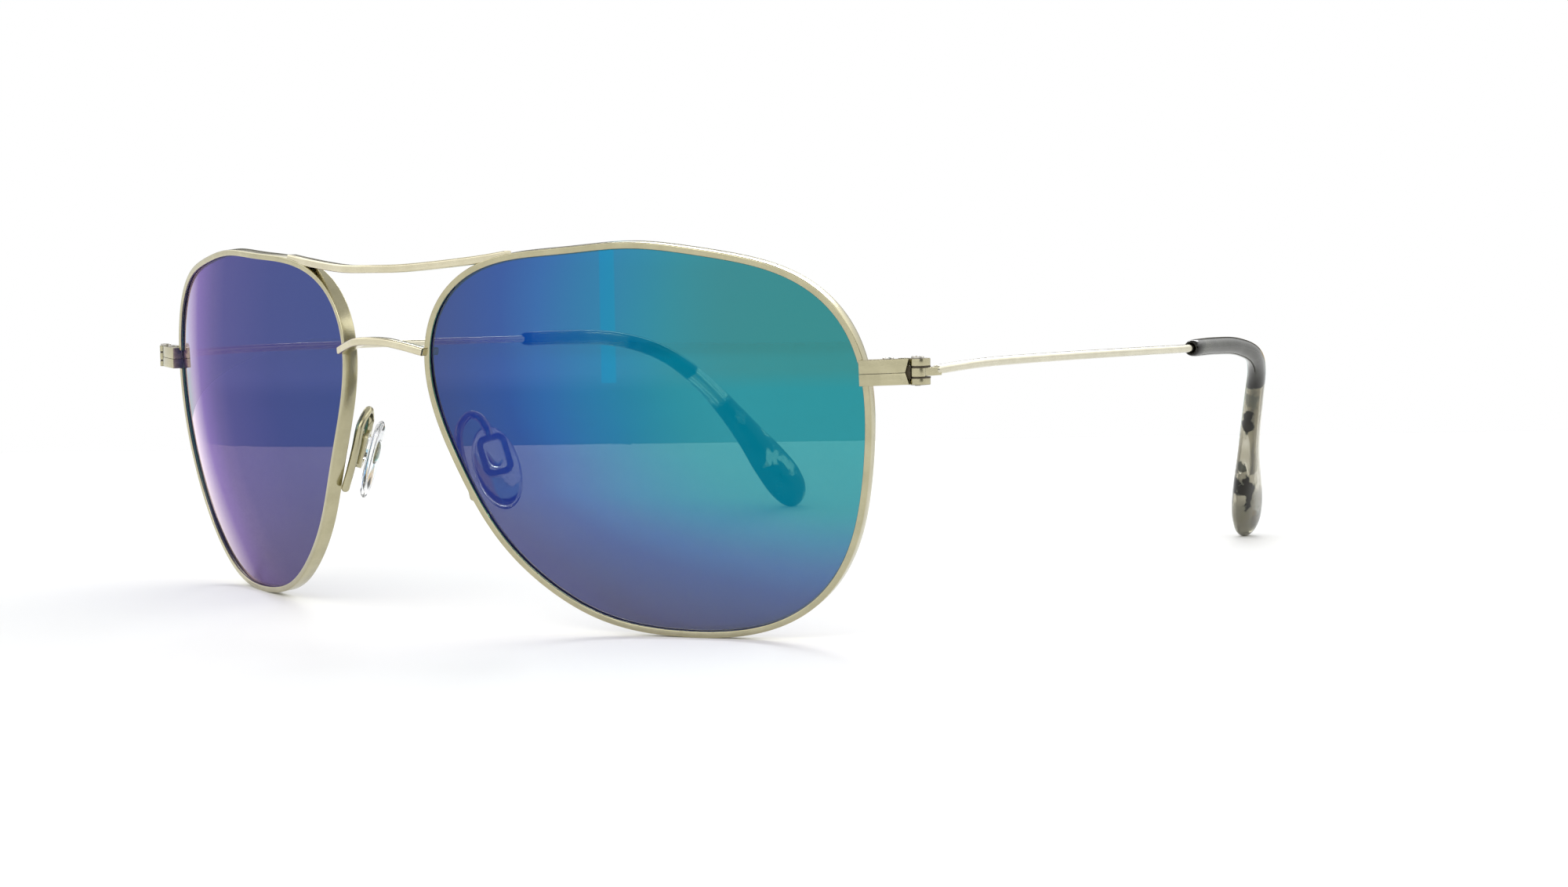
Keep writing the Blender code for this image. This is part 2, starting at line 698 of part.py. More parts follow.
left_clearance = build_rim_and_lens()
right_clearance = add_cutter("rim_clearance_right", left_clearance.data.copy(), front)
flip = Matrix.Diagonal((-1, 1, 1, 1))
right_clearance.data.transform(flip @ lens_frame.matrix_local)
right_clearance.data.flip_normals()
build_block()
build_hinge()
build_screws()
build_bars([left_clearance, right_clearance])
build_pad(left_clearance)
build_temple()
mirror_to_the_right()
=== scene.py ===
"""Looks of the aviator sunglasses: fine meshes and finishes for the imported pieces, light, floor and camera.

Lengths inside the tables and the driving dimensions are in millimetres, and MM turns them into metres.
The left half is modelled, and each left piece has a mirrored twin.
"""

import json
import math

import bmesh
import bpy
import numpy as np
from mathutils import Matrix, Vector


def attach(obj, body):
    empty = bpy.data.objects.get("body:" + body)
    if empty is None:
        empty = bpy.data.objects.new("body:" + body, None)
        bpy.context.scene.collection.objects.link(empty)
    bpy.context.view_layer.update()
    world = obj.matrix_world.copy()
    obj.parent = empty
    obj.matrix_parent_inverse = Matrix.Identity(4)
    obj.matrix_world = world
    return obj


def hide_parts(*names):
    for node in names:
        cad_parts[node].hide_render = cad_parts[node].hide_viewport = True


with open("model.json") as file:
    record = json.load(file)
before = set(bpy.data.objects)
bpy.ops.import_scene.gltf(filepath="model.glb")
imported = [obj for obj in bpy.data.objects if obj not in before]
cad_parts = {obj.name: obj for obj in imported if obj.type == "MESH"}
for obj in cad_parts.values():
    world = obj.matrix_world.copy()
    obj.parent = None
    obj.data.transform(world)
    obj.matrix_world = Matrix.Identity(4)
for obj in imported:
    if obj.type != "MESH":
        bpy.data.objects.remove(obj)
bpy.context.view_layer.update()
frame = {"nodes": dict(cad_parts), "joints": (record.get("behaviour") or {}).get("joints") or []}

MM = 0.001

# The front's frame is half way between the lens centres, and is found from the left hinge
HINGE_PLACE = Vector((70.0, 14.5, 9.13)) * MM
HINGE = Vector(next(j["pos_m"] for j in frame["joints"] if j["name"] == "temple_left_fold"))
FRONT = Matrix.Translation(HINGE - HINGE_PLACE)

# Lens
LENS_SPHERE = 100 * MM
LENS_CENTRE_X = 37.3 * MM
LENS_WRAP = math.radians(17.6)
LENS_TILT = math.radians(6.95)
LENS_THICKNESS = 1.15 * MM
LENS_RECESS = 0.45 * MM
LENS_EDGE_IN_GROOVE = 0.2 * MM

# Opening's edge from the lens centre, every 22.5 degrees from the temple side upwards
OPENING_RADII = [
    28.8, 30.0, 28.0, 24.7, 24.1, 25.7, 30.8, 31.3, 26.3, 23.7, 22.8, 22.9, 23.6, 26.0, 28.8, 28.8
]

# Eyewire
RIM_WIDTH = 0.8 * MM
RIM_DEPTH = 1.9 * MM
RIM_ROUNDING = 0.16 * MM  # outer corners
RIM_SMALL_ROUNDING = 0.6 * RIM_ROUNDING  # corners at the lens
GROOVE_DEPTH = 0.36 * MM
GROOVE_LIP = 0.32 * MM

# Closing block
BLOCK_PLACE = Vector((64.0, 11.2, 9.0)) * MM
BLOCK_TURN = math.radians(23)
BLOCK_RISE = math.radians(2)
BLOCK_TOP = 1.6 * MM
BLOCK_BOTTOM = -1.48 * MM
BLOCK_EDGE = 0.11 * MM

# Hinge and screws: heights are from the hinge's place or, for the closing screw, from the block's
KNUCKLE_EDGE = 0.1 * MM
TONGUE_EDGE = 0.34 * MM
HINGE_SCREW_RADIUS = 0.4 * MM
HINGE_SCREW_HEAD = (0.76 * MM, 0.24 * MM)
HINGE_SCREW_ENDS = (1.68 * MM, -1.58 * MM)
CLOSING_SCREW_PLACE = Vector((3.3, 0.75, 0.0)) * MM
CLOSING_SCREW_RADIUS = 0.35 * MM
CLOSING_SCREW_HEAD = (0.68 * MM, 0.16 * MM)
CLOSING_SCREW_ENDS = (1.6 * MM, -1.38 * MM)
SCREW_SEAT = 0.025 * MM
SCREW_SLOT = (0.3 * MM, 0.12 * MM)  # width, depth
SCREW_SLOT_TURN = math.radians(25)
SCREW_HEAD_ROUNDING = 0.1 * MM
SCREW_POINT = (0.08 * MM, 0.1 * MM)  # chamfer at the shank's end

# Wall between the knuckles, from above and from the hinge's place, and washers on the tongue, both near-black
# with painted shade
RECESS_OUTLINE = [
    (-2.4, -0.6),
    (-1.5, -1.2),
    (-0.66, -0.93),
    (-0.36, -0.96),
    (-0.72, -0.72),
    (-1.0, -0.46),
    (-1.5, -0.36),
    (-2.4, -0.18),
]
RECESS_HEIGHTS = (-0.72 * MM, 0.8 * MM)
WASHER_RADIUS = 0.88 * MM
WASHER_REACH = 1.45 * MM
WASHER_HEIGHTS = [(0.56 * MM, 0.78 * MM), (-0.69 * MM, -0.5 * MM)]

# Bars over the nose, left half of each centre line from the middle outwards
BAR_HEIGHT = 1.05 * MM
BAR_ROUNDING = 0.26 * MM
BAR_EDGE = 0.11 * MM
BROW_DEPTH = 1.6 * MM
BROW_LINE = [
    (0.0, -7.15, 22.2),
    (5.0, -6.7, 22.25),
    (10.0, -5.45, 22.6),
    (16.0, -3.8, 23.2),
    (20.2, -3.0, 23.75),
]
BRIDGE_DEPTH = 1.8 * MM
BRIDGE_LINE = [(0.0, -7.6, 12.95), (2.6, -7.35, 12.8), (5.0, -6.6, 12.3), (7.7, -5.65, 11.55)]

# Nose pad, its box and its arm
PAD_BOX_CENTRE = Vector((12.6, 2.0, -1.9)) * MM
PAD_UP = Vector((-0.36, 0.0, 0.93))
PAD_FACING = Vector((-0.8, 0.6, 0.0))
PAD_BOX_OUTER = (3.9 * MM, 5.4 * MM)
PAD_BOX_WALL = 0.75 * MM
PAD_BOX_THICKNESS = 0.9 * MM
PAD_BOX_CORNERS = (1.2 * MM, 0.6 * MM)  # outer, inner
PAD_BOX_EDGE = 0.12 * MM
PAD_DROP = 1.35 * MM

# Ovals of the pad from its stud to its face: half width, half length and height
PAD_STUD_OVALS = [(0.5, 1.2, -0.62), (0.8, 1.5, -0.58), (0.95, 1.68, -0.4), (0.98, 1.7, 0.8)]
PAD_OVALS = [
    (1.9, 4.0, 0.85),
    (2.55, 4.9, 0.98),
    (2.85, 5.35, 1.2),
    (3.0, 5.6, 1.55),
    (2.9, 5.45, 1.85),
    (2.5, 4.9, 2.1),
    (1.9, 4.0, 2.26),
    (0.9, 1.9, 2.4),
    (0.2, 0.4, 2.43),
]
PAD_ARM_RADIUS = 0.55 * MM
PAD_ARM_COLLAR = (0.16, 0.09, 0.02)  # swelling, and its place and width as shares of the arm from its end
PAD_ARM_LINE = [
    (12.1, -1.9, -7.1),
    (11.2, -1.7, -4.6),
    (10.1, -1.65, -1.6),
    (9.5, -1.3, 1.3),
    (9.7, 0.3, 3.2),
    (10.6, 1.5, 2.8),
]

# Temple, from the hinge's place
TEMPLE_LINE = [
    (0.22, 4.1, 0.2),
    (-0.3, 11.5, 0.45),
    (-1.0, 20.0, 0.54),
    (-2.0, 39.0, 0.42),
    (-3.3, 62.0, 0.15),
    (-4.1, 74.5, 0.0),
    (-5.4, 84.0, -0.05),
    (-6.6, 93.0, -0.45),
    (-7.9, 101.0, -1.95),
    (-10.3, 107.0, -4.75),
    (-13.4, 112.1, -9.45),
    (-16.8, 117.3, -16.3),
    (-20.2, 123.0, -24.6),
    (-23.0, 128.9, -32.68),
]
WIRE_RADIUS = 0.58 * MM
WIRE_IN_TONGUE = 0.5 * MM
TIP_START = 70.4 * MM
CORE_END = 128.0 * MM
TIP_BORE_RADIUS = 0.66 * MM
TIP_BORE_PAST_CORE = 0.4 * MM
TIP_MOUTH_ROUNDING = 0.25 * MM

# Distance from the tip's mouth, width and thickness
TIP_SECTIONS = [
    (0.0, 1.9, 1.9),
    (0.5, 2.3, 2.3),
    (2.0, 2.5, 2.5),
    (20.0, 2.65, 2.55),
    (30.0, 2.9, 2.65),
    (41.0, 3.5, 2.9),
    (49.0, 4.6, 3.0),
    (55.0, 5.9, 3.3),
    (61.0, 7.9, 3.9),
    (65.5, 8.5, 4.3),
    (68.7, 7.6, 3.9),
    (70.7, 5.4, 2.9),
    (71.5, 3.2, 1.8),
]
TIP_WIDE_DIRECTION = Vector((0.0, 0.78, 0.63))
TIP_LENGTH = 72.0  # in millimetres, for the pattern of the acetate

# Camera: the direction to it, its distance, and how far it is moved sideways and up in its own view
CAMERA_AZIMUTH = math.radians(37.92)
CAMERA_ELEVATION = math.radians(4.35)
CAMERA_ROLL = math.radians(-0.81)
CAMERA_DISTANCE = 323 * MM
CAMERA_SIDE = 48.2 * MM
CAMERA_RISE = -0.8 * MM
CAMERA_LENS = 56.4  # on the usual 36 mm film width

# Floor: its edges behind, in front and beside the object, in the camera's direction
FLOOR_FAR = 0.247
FLOOR_NEAR = 3.0
FLOOR_SIDE = 3.0
FLOOR_THICKNESS = 0.01

# Light of the room in front, by the height of a direction (-1 straight down, 1 straight up)
ROOM_BY_HEIGHT = [
    (-1.0, (1.06, 1.06, 1.06)),
    (0.18, (1.06, 1.06, 1.06)),
    (0.32, (1.3, 1.3, 1.3)),
    (0.42, (1.9, 1.9, 1.9)),
    (0.58, (1.9, 1.9, 1.9)),
    (0.68, (0.7, 0.7, 0.7)),
    (1.0, (0.7, 0.7, 0.7)),
]

# Light of the wall behind, by height too: a warm side, a cool side, and the same dark and light above both
WALL_FOOT = -0.051
UPPER_WALL_BY_HEIGHT = [
    (0.06, (0.05, 0.05, 0.04)),
    (0.26, (0.10, 0.10, 0.10)),
    (0.36, (1.1, 1.1, 1.1)),
]
WARM_WALL_BY_HEIGHT = [
    (WALL_FOOT - 0.0015, (0.55, 0.74, 0.72)),
    (WALL_FOOT, (0.80, 0.60, 0.34)),
    (0.03, (0.76, 0.58, 0.34)),
    *UPPER_WALL_BY_HEIGHT,
]
COOL_WALL_BY_HEIGHT = [
    (WALL_FOOT - 0.0015, (0.34, 0.56, 0.52)),
    (WALL_FOOT, (0.52, 0.74, 0.88)),
    (0.03, (0.52, 0.74, 0.88)),
    *UPPER_WALL_BY_HEIGHT,
]

# Sideways parts of a direction: where the wall turns from cool to warm, and a bright upright strip on it
WALL_TURN = (-0.07, -0.02)
WALL_STRIP = (-0.0755, -0.0695)
WALL_STRIP_COLOUR = (0.3, 0.95, 1.35)

# Parts of a direction away from the camera between which the room turns into the wall behind
WALL_START = (0.8, 0.93)

# Dark flag beside the wearer's left: its start by the X part of a direction, its share and its colour
FLAG_START = (0.86, 0.93)
FLAG_SHARE = 0.85
FLAG_COLOUR = (0.05, 0.05, 0.05)

WELD = 1e-7


# ---------------------------------------------------------------- mesh tools


def mesh_from(name, points, faces):
    mesh = bpy.data.meshes.new(name)
    mesh.from_pydata([tuple(point) for point in points], [], faces)
    shape = bmesh.new()
    shape.from_mesh(mesh)
    bmesh.ops.recalc_face_normals(shape, faces=shape.faces)
    shape.to_mesh(mesh)
    shape.free()
    return mesh


def loft(name, rings, cyclic=False):
    """Body through rings of equal count: closed on itself, or with its two ends filled."""
    count = len(rings[0])
    points = [point for ring in rings for point in ring]
    faces = []
    last = len(rings) if cyclic else len(rings) - 1
    for level in range(last):
        below = level * count
        above = (level + 1) % len(rings) * count
        for i in range(count):
            j = (i + 1) % count
            faces.append((below + i, below + j, above + j, above + i))
    if not cyclic:
        faces.append(tuple(range(count)))
        faces.append(tuple(range((len(rings) - 1) * count, len(rings) * count)))
    return mesh_from(name, points, faces)


def smooth_line(controls, spacing):
    """Evenly spaced points on a Catmull-Rom curve through the control points."""
    knots = [np.array(point, float) for point in controls]
    knots = [2 * knots[0] - knots[1], *knots, 2 * knots[-1] - knots[-2]]
    dense = []
    for a, b, c, d in zip(knots, knots[1:], knots[2:], knots[3:]):
        for t in np.linspace(0, 1, 24, endpoint=False):
            cubic = (3 * b - a - 3 * c + d) * t**3 + (2 * a - 5 * b + 4 * c - d) * t**2
            dense.append(0.5 * (cubic + (c - a) * t + 2 * b))
    dense.append(knots[-2])
    dense = np.array(dense)
    travelled = np.concatenate([[0], np.cumsum(np.linalg.norm(np.diff(dense, axis=0), axis=1))])
    count = max(2, round(travelled[-1] / spacing) + 1)
    stops = np.linspace(0, travelled[-1], count)
    return np.stack([np.interp(stops, travelled, dense[:, axis]) for axis in range(3)], axis=1)


def smooth_values(stops, table):
    """Smooth interpolation of a table's columns (first column: distance) without overshoot."""
    table = np.array(table, float)
    x = table[:, 0]
    results = []
    for column in table[:, 1:].T:
        slope = np.diff(column) / np.diff(x)
        tangent = np.concatenate([[slope[0]], np.zeros(len(slope) - 1), [slope[-1]]])
        for i in range(1, len(slope)):
            if slope[i - 1] * slope[i] > 0:
                tangent[i] = 2 * slope[i - 1] * slope[i] / (slope[i - 1] + slope[i])
        place = np.clip(np.searchsorted(x, stops, side="right") - 1, 0, len(slope) - 1)
        width = x[place + 1] - x[place]
        t = np.clip((stops - x[place]) / width, 0, 1)
        a, b = column[place], column[place + 1]
        ta, tb = tangent[place] * width, tangent[place + 1] * width
        results.append(
            a * (2 * t**3 - 3 * t**2 + 1)
            + ta * (t**3 - 2 * t**2 + t)
            + b * (3 * t**2 - 2 * t**3)
            + tb * (t**3 - t**2)
        )
    return results


def circle(radius, centre=(0.0, 0.0), steps=16, start=0.0, turn=2 * math.pi):
    """Points round a circle, or on an arc with both of its ends."""
    whole = math.isclose(turn, 2 * math.pi)
    angles = [start + turn * i / (steps if whole else steps - 1) for i in range(steps)]
    return [(centre[0] + radius * math.cos(a), centre[1] + radius * math.sin(a)) for a in angles]


def rounded_rectangle(width, height, radius, steps=6):
    corners = [(1, 1), (-1, 1), (-1, -1), (1, -1)]
    outline = []
    for quarter, (side_x, side_y) in enumerate(corners):
        centre = (side_x * (width / 2 - radius), side_y * (height / 2 - radius))
        outline += circle(radius, centre, steps, quarter * math.pi / 2, math.pi / 2)
    return outline


def sweep(name, line, sections, up=Vector((0, 0, 1)), cyclic=False):
    """Body that carries (across, up) sections along a line: one section, or one for each point."""
    line = [Vector(point) for point in line]
    count = len(line)
    rings = []
    for i, point in enumerate(line):
        before = line[i - 1] if i or cyclic else point
        after = line[(i + 1) % count] if i < count - 1 or cyclic else point
        tangent = (after - before).normalized()
        across = tangent.cross(up).normalized()
        rise = across.cross(tangent)
        section = sections[i] if isinstance(sections[0], list) else sections
        rings.append([point + across * x + rise * y for x, y in section])
    return loft(name, rings, cyclic=cyclic)


def tube(name, line, radii, sides=24, up=Vector((0, 0, 1))):
    """Round wire along a line, with domed ends. radii is one radius or one for each point."""
    line = [Vector(point) for point in line]
    radii = list(radii) if np.ndim(radii) else [radii] * len(line)
    first = (line[0] - line[1]).normalized()
    last = (line[-1] - line[-2]).normalized()
    dome = [(math.sin(a), math.cos(a)) for a in np.linspace(0.25, 1.25, 4)]
    front = [(line[0] + first * radii[0] * c, radii[0] * s) for s, c in dome]
    rear = [(line[-1] + last * radii[-1] * c, radii[-1] * s) for s, c in reversed(dome)]
    stations = front + list(zip(line, radii)) + rear
    sections = [circle(radius, steps=sides) for _, radius in stations]
    return sweep(name, [point for point, _ in stations], sections, up)


def turned(name, profile, steps=40):
    """Solid of revolution about Z through (radius, height) points from top to bottom."""
    rings = []
    for radius, height in profile:
        rings.append([Vector((x, y, height)) for x, y in circle(max(radius, 1e-6), steps=steps)])
    return loft(name, rings)


def plate(name, outlines, bottom, top):
    """Plate between two heights: the first outline is its edge, and the others are holes in it."""
    curve = bpy.data.curves.new(name, "CURVE")
    curve.dimensions = "2D"
    curve.fill_mode = "BOTH"
    curve.extrude = (top - bottom) / 2
    for outline in outlines:
        spline = curve.splines.new("POLY")
        spline.points.add(len(outline) - 1)
        for slot, (x, y) in zip(spline.points, outline):
            slot.co = (x, y, 0.0, 1.0)
        spline.use_cyclic_u = True
    holder = bpy.data.objects.new(name, curve)
    bpy.context.scene.collection.objects.link(holder)
    mesh = final_mesh(holder)
    mesh.transform(Matrix.Translation((0, 0, (top + bottom) / 2)))
    return mesh


def final_mesh(holder):
    """The mesh that an object shows with its modifiers, welded. The object is removed."""
    bpy.context.view_layer.update()
    graph = bpy.context.evaluated_depsgraph_get()
    mesh = bpy.data.meshes.new_from_object(holder.evaluated_get(graph), depsgraph=graph)
    mesh.transform(holder.matrix_world)
    bpy.data.objects.remove(holder)
    shape = bmesh.new()
    shape.from_mesh(mesh)
    bmesh.ops.remove_doubles(shape, verts=shape.verts, dist=WELD)
    bmesh.ops.recalc_face_normals(shape, faces=shape.faces)
    shape.to_mesh(mesh)
    shape.free()
    return mesh


def with_modifiers(mesh, *steps):
    """The mesh after the modifiers that the steps, functions of a new object, give it."""
    holder = bpy.data.objects.new("holder", mesh)
    bpy.context.scene.collection.objects.link(holder)
    for step in steps:
        step(holder)
    return final_mesh(holder)


def bevel(width, segments=3, angle=25):
    """Modifier step that rounds the edges. A mesh with two materials gets the second one there."""

    def add(holder):
        modifier = holder.modifiers.new("Bevel", "BEVEL")
        modifier.material = 1
        modifier.width = width
        modifier.segments = segments
        modifier.limit_method = "ANGLE"
        modifier.angle_limit = math.radians(angle)

    return add


used_cutters = []


def less(cutter_mesh):
    """Modifier step that cuts another mesh away."""

    def add(holder):
        cutter = bpy.data.objects.new("cutter", cutter_mesh)
        bpy.context.scene.collection.objects.link(cutter)
        modifier = holder.modifiers.new("Cut", "BOOLEAN")
        modifier.operation = "DIFFERENCE"
        modifier.solver = "EXACT"
        modifier.object = cutter
        used_cutters.append(cutter)

    return add


def remove_cutters():
    while used_cutters:
        bpy.data.objects.remove(used_cutters.pop())


def box_mesh(size, centre, turn=0.0):
    shape = bmesh.new()
    bmesh.ops.create_cube(shape, size=1.0)
    bmesh.ops.scale(shape, vec=size, verts=shape.verts)
    bmesh.ops.rotate(shape, matrix=Matrix.Rotation(turn, 3, "Z"), verts=shape.verts)
    bmesh.ops.translate(shape, vec=centre, verts=shape.verts)
    mesh = bpy.data.meshes.new("box")
    shape.to_mesh(mesh)
    shape.free()
    return mesh


def fine_copy(node, width, segments=3):
    """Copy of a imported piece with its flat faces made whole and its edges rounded."""
    mesh = frame["nodes"][node].data.copy()
    mesh.materials.clear()
    mesh.materials.append(None)
    mesh.materials.append(None)
    shape = bmesh.new()
    shape.from_mesh(mesh)
    bmesh.ops.remove_doubles(shape, verts=shape.verts, dist=1e-6)
    bmesh.ops.dissolve_limit(
        shape, angle_limit=math.radians(1), verts=shape.verts, edges=shape.edges
    )
    shape.to_mesh(mesh)
    shape.free()
    return with_modifiers(mesh, bevel(width, segments))


# ---------------------------------------------------------------- pieces


def add_piece(name, mesh, body, node, materials, sharp=35):
    """Puts a finished mesh, which is in the row frame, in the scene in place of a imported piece."""
    for place, material in enumerate(materials):
        if place < len(mesh.materials):
            mesh.materials[place] = material
        else:
            mesh.materials.append(material)
    mesh.shade_smooth()
    mesh.set_sharp_from_angle(angle=math.radians(sharp))
    piece = bpy.data.objects.new(name, mesh)
    bpy.context.scene.collection.objects.link(piece)
    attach(piece, body)
    if node:
        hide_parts(node)
    return piece


def add_pair(name, mesh, body, node, materials, sharp=35, right_materials=None):
    """A left piece and its mirrored twin on the right."""
    twin = mesh.copy()
    twin.transform(Matrix.Diagonal((-1, 1, 1, 1)))
    twin.flip_normals()
    sides = {"left": (mesh, materials), "right": (twin, right_materials or materials)}
    pair = []
    for side, (shape, finish) in sides.items():
        where = body if body == "front" else f"{body}_{side}"
        packed = node and f"{node}_{side}"
        pair.append(add_piece(f"{name}_{side}", shape, where, packed, finish, sharp))
    return pair


def placed(mesh, matrix):
    mesh.transform(matrix)
    return mesh


# ---------------------------------------------------------------- materials


class Nodes:
    """Small helper that builds one node tree."""

    def __init__(self, tree):
        self.tree = tree
        self.tree.nodes.clear()

    def add(self, kind, **settings):
        node = self.tree.nodes.new(kind)
        for key, value in settings.items():
            setattr(node, key, value)
        return node

    def link(self, source, target):
        self.tree.links.new(source, target)

    def set(self, node, **values):
        """Input values by name, with _ for a space."""
        for key, value in values.items():
            node.inputs[key.replace("_", " ")].default_value = value
        return node

    def ramp(self, value, stops):
        """Colour from a value by (position, colour) stops."""
        node = self.add("ShaderNodeValToRGB")
        elements = node.color_ramp.elements
        while len(elements) < len(stops):
            elements.new(0.5)
        for element, (position, _) in zip(elements, stops):
            element.position = position
        for element, (_, colour) in zip(elements, stops):
            element.color = (*colour, 1.0)
        self.link(value, node.inputs["Fac"])
        return node.outputs["Color"]

    def spread(self, value, low, high, source=(0.0, 1.0), curve="LINEAR"):
        """The value's source range mapped to low..high."""
        node = self.add("ShaderNodeMapRange", interpolation_type=curve)
        node.inputs["From Min"].default_value = source[0]
        node.inputs["From Max"].default_value = source[1]
        node.inputs["To Min"].default_value = low
        node.inputs["To Max"].default_value = high
        self.link(value, node.inputs["Value"])
        return node.outputs["Result"]

    def math(self, operation, *values):
        """Math node on sockets or numbers."""
        node = self.add("ShaderNodeMath", operation=operation)
        for socket, value in zip(node.inputs, values):
            if isinstance(value, (int, float)):
                socket.default_value = value
            else:
                self.link(value, socket)
        return node.outputs["Value"]

    def blend(self, a, b, share):
        """Weighted mean of two values, with the second one's share."""
        return self.math("ADD", self.math("MULTIPLY", a, 1 - share), self.math("MULTIPLY", b, share))

    def mix(self, factor, a, b):
        """Mix of two colours, each a socket or a tuple."""
        node = self.add("ShaderNodeMix", data_type="RGBA")
        for socket, value in zip((node.inputs[0], node.inputs[6], node.inputs[7]), (factor, a, b)):
            if isinstance(value, tuple):
                socket.default_value = (*value, 1.0)
            else:
                self.link(value, socket)
        return node.outputs[2]


class Finish(Nodes):
    """Helper that builds one material."""

    def __init__(self, name, viewport):
        self.material = bpy.data.materials.new(name)
        self.material.use_nodes = True
        self.material.diffuse_color = (*viewport, 1.0)
        super().__init__(self.material.node_tree)
        self.output = self.add("ShaderNodeOutputMaterial")

    def principled(self, **values):
        return self.set(self.add("ShaderNodeBsdfPrincipled"), **values)

    def place(self, stretch=(1, 1, 1), shift=(0, 0, 0)):
        """Object coordinates in millimetres, stretched."""
        coordinates = self.add("ShaderNodeTexCoord")
        mapping = self.add("ShaderNodeMapping")
        mapping.inputs["Scale"].default_value = [1000 * s for s in stretch]
        mapping.inputs["Location"].default_value = shift
        self.link(coordinates.outputs["Object"], mapping.inputs["Vector"])
        return mapping.outputs["Vector"]

    def noise(self, vector, scale, detail=3.0, roughness=0.5):
        node = self.add("ShaderNodeTexNoise")
        self.set(node, Scale=scale, Detail=detail, Roughness=roughness)
        self.link(vector, node.inputs["Vector"])
        return node.outputs["Fac"]

    def bump(self, height, distance, strength, shader):
        node = self.set(self.add("ShaderNodeBump"), Strength=strength, Distance=distance)
        self.link(height, node.inputs["Height"])
        self.link(node.outputs["Normal"], shader.inputs["Normal"])

    def done(self, shader):
        self.link(shader.outputs[0], self.output.inputs["Surface"])
        return self.material


def metal_finish(name, light, dark, roughness, brush=(6, 6, 6)):
    """Polished plated metal: faint brush lines, cloudy tone and a little wear in the roughness."""
    finish = Finish(name, light)
    place = finish.place()
    cloud = finish.noise(place, 0.35, detail=4.0, roughness=0.6)
    lines = finish.noise(finish.place(brush), 1.0, detail=2.0, roughness=0.7)
    specks = finish.noise(place, 3.2, detail=3.0, roughness=0.7)
    shader = finish.principled(Metallic=1.0, IOR=1.5)
    tone = finish.blend(cloud, lines, 0.3)
    finish.link(finish.ramp(tone, [(0.34, dark), (0.62, light)]), shader.inputs["Base Color"])
    worn = finish.spread(
        finish.blend(specks, lines, 0.4), roughness * 0.75, roughness * 1.3, (0.3, 0.7)
    )
    finish.link(worn, shader.inputs["Roughness"])
    finish.bump(lines, 0.012 * MM, 0.5, shader)
    return finish.done(shader)


def lens_coat():
    """Front of the lens: a mirror coating whose colour turns from teal to violet with the angle.

    Low on the lens the colour turns sooner, and the mirror is darker there: painted shade that dims the
    floor's reflection.
    """
    finish = Finish("lens_mirror_coat", (0.07, 0.16, 0.42))
    weight = finish.add("ShaderNodeLayerWeight")
    weight.inputs["Blend"].default_value = 0.5
    haze = finish.noise(finish.place(), 0.05, detail=2.0)
    height = finish.add("ShaderNodeSeparateXYZ")
    finish.link(finish.place(), height.inputs["Vector"])
    low = finish.spread(height.outputs["Z"], 1.0, 0.0, (0.0, 18.0))
    straight = finish.math("SUBTRACT", 1.0, weight.outputs["Facing"])
    facing = finish.math("ADD", weight.outputs["Facing"], finish.spread(haze, -0.012, 0.012))
    turned_low = finish.math("MULTIPLY", finish.math("MULTIPLY", low, 0.15), straight)
    facing = finish.math("ADD", facing, turned_low)
    mirrored = finish.ramp(
        facing,
        [
            (0.0, (0.0, 0.31, 0.42)),
            (0.06, (0.0, 0.30, 0.47)),
            (0.11, (0.0, 0.22, 0.57)),
            (0.16, (0.005, 0.13, 0.59)),
            (0.2, (0.01, 0.06, 0.49)),
            (0.28, (0.035, 0.055, 0.36)),
            (0.5, (0.055, 0.055, 0.36)),
            (0.65, (0.12, 0.09, 0.42)),
            (0.78, (0.33, 0.22, 0.60)),
            (0.88, (1.0, 0.86, 1.0)),
        ],
    )
    passed = finish.ramp(
        facing,
        [
            (0.0, (0.15, 0.44, 0.37)),
            (0.07, (0.18, 0.41, 0.33)),
            (0.15, (0.24, 0.32, 0.285)),
            (0.3, (0.25, 0.25, 0.25)),
            (0.8, (0.28, 0.25, 0.25)),
        ],
    )
    # Painted shade: the mirror's colour darkens towards the bottom of the lens, dimming the floor's
    # reflection there
    mirrored = finish.mix(finish.math("MULTIPLY", low, 0.32), mirrored, (0.0, 0.0, 0.0))
    share = finish.ramp(facing, [(0.7, (0.5, 0.5, 0.5)), (0.9, (0.9, 0.9, 0.9))])
    mirror = finish.set(finish.add("ShaderNodeBsdfGlossy"), Roughness=0.015)
    glass = finish.set(finish.add("ShaderNodeBsdfRefraction"), Roughness=0.0, IOR=1.5)
    finish.link(mirrored, mirror.inputs["Color"])
    finish.link(passed, glass.inputs["Color"])
    mix = finish.add("ShaderNodeMixShader")
    finish.link(share, mix.inputs["Fac"])
    finish.link(glass.outputs[0], mix.inputs[1])
    finish.link(mirror.outputs[0], mix.inputs[2])
    return finish.done(mix)


def lens_body():
    """Back of the lens: grey-brown glass."""
    finish = Finish("lens_glass", (0.35, 0.33, 0.28))
    haze = finish.noise(finish.place(), 0.06, detail=2.0)
    shader = finish.principled(IOR=1.5, Transmission_Weight=1.0, Roughness=0.0)
    finish.link(
        finish.ramp(haze, [(0.3, (0.61, 0.60, 0.57)), (0.7, (0.67, 0.66, 0.63))]),
        shader.inputs["Base Color"],
    )
    return finish.done(shader)


def lens_edge():
    """Ground edge of the lens: matt blue, dark navy as painted shade where the eyewire shades the lens edge.
    """
    finish = Finish("lens_ground_edge_painted_shade", (0.03, 0.05, 0.35))
    grain = finish.noise(finish.place(), 2.5, detail=3.0)
    shader = finish.principled(IOR=1.5, Specular_IOR_Level=0.1)
    finish.link(
        finish.ramp(grain, [(0.3, (0.03, 0.045, 0.32)), (0.7, (0.045, 0.06, 0.42))]),
        shader.inputs["Base Color"],
    )
    finish.link(finish.spread(grain, 0.4, 0.6, (0.3, 0.7)), shader.inputs["Roughness"])
    return finish.done(shader)


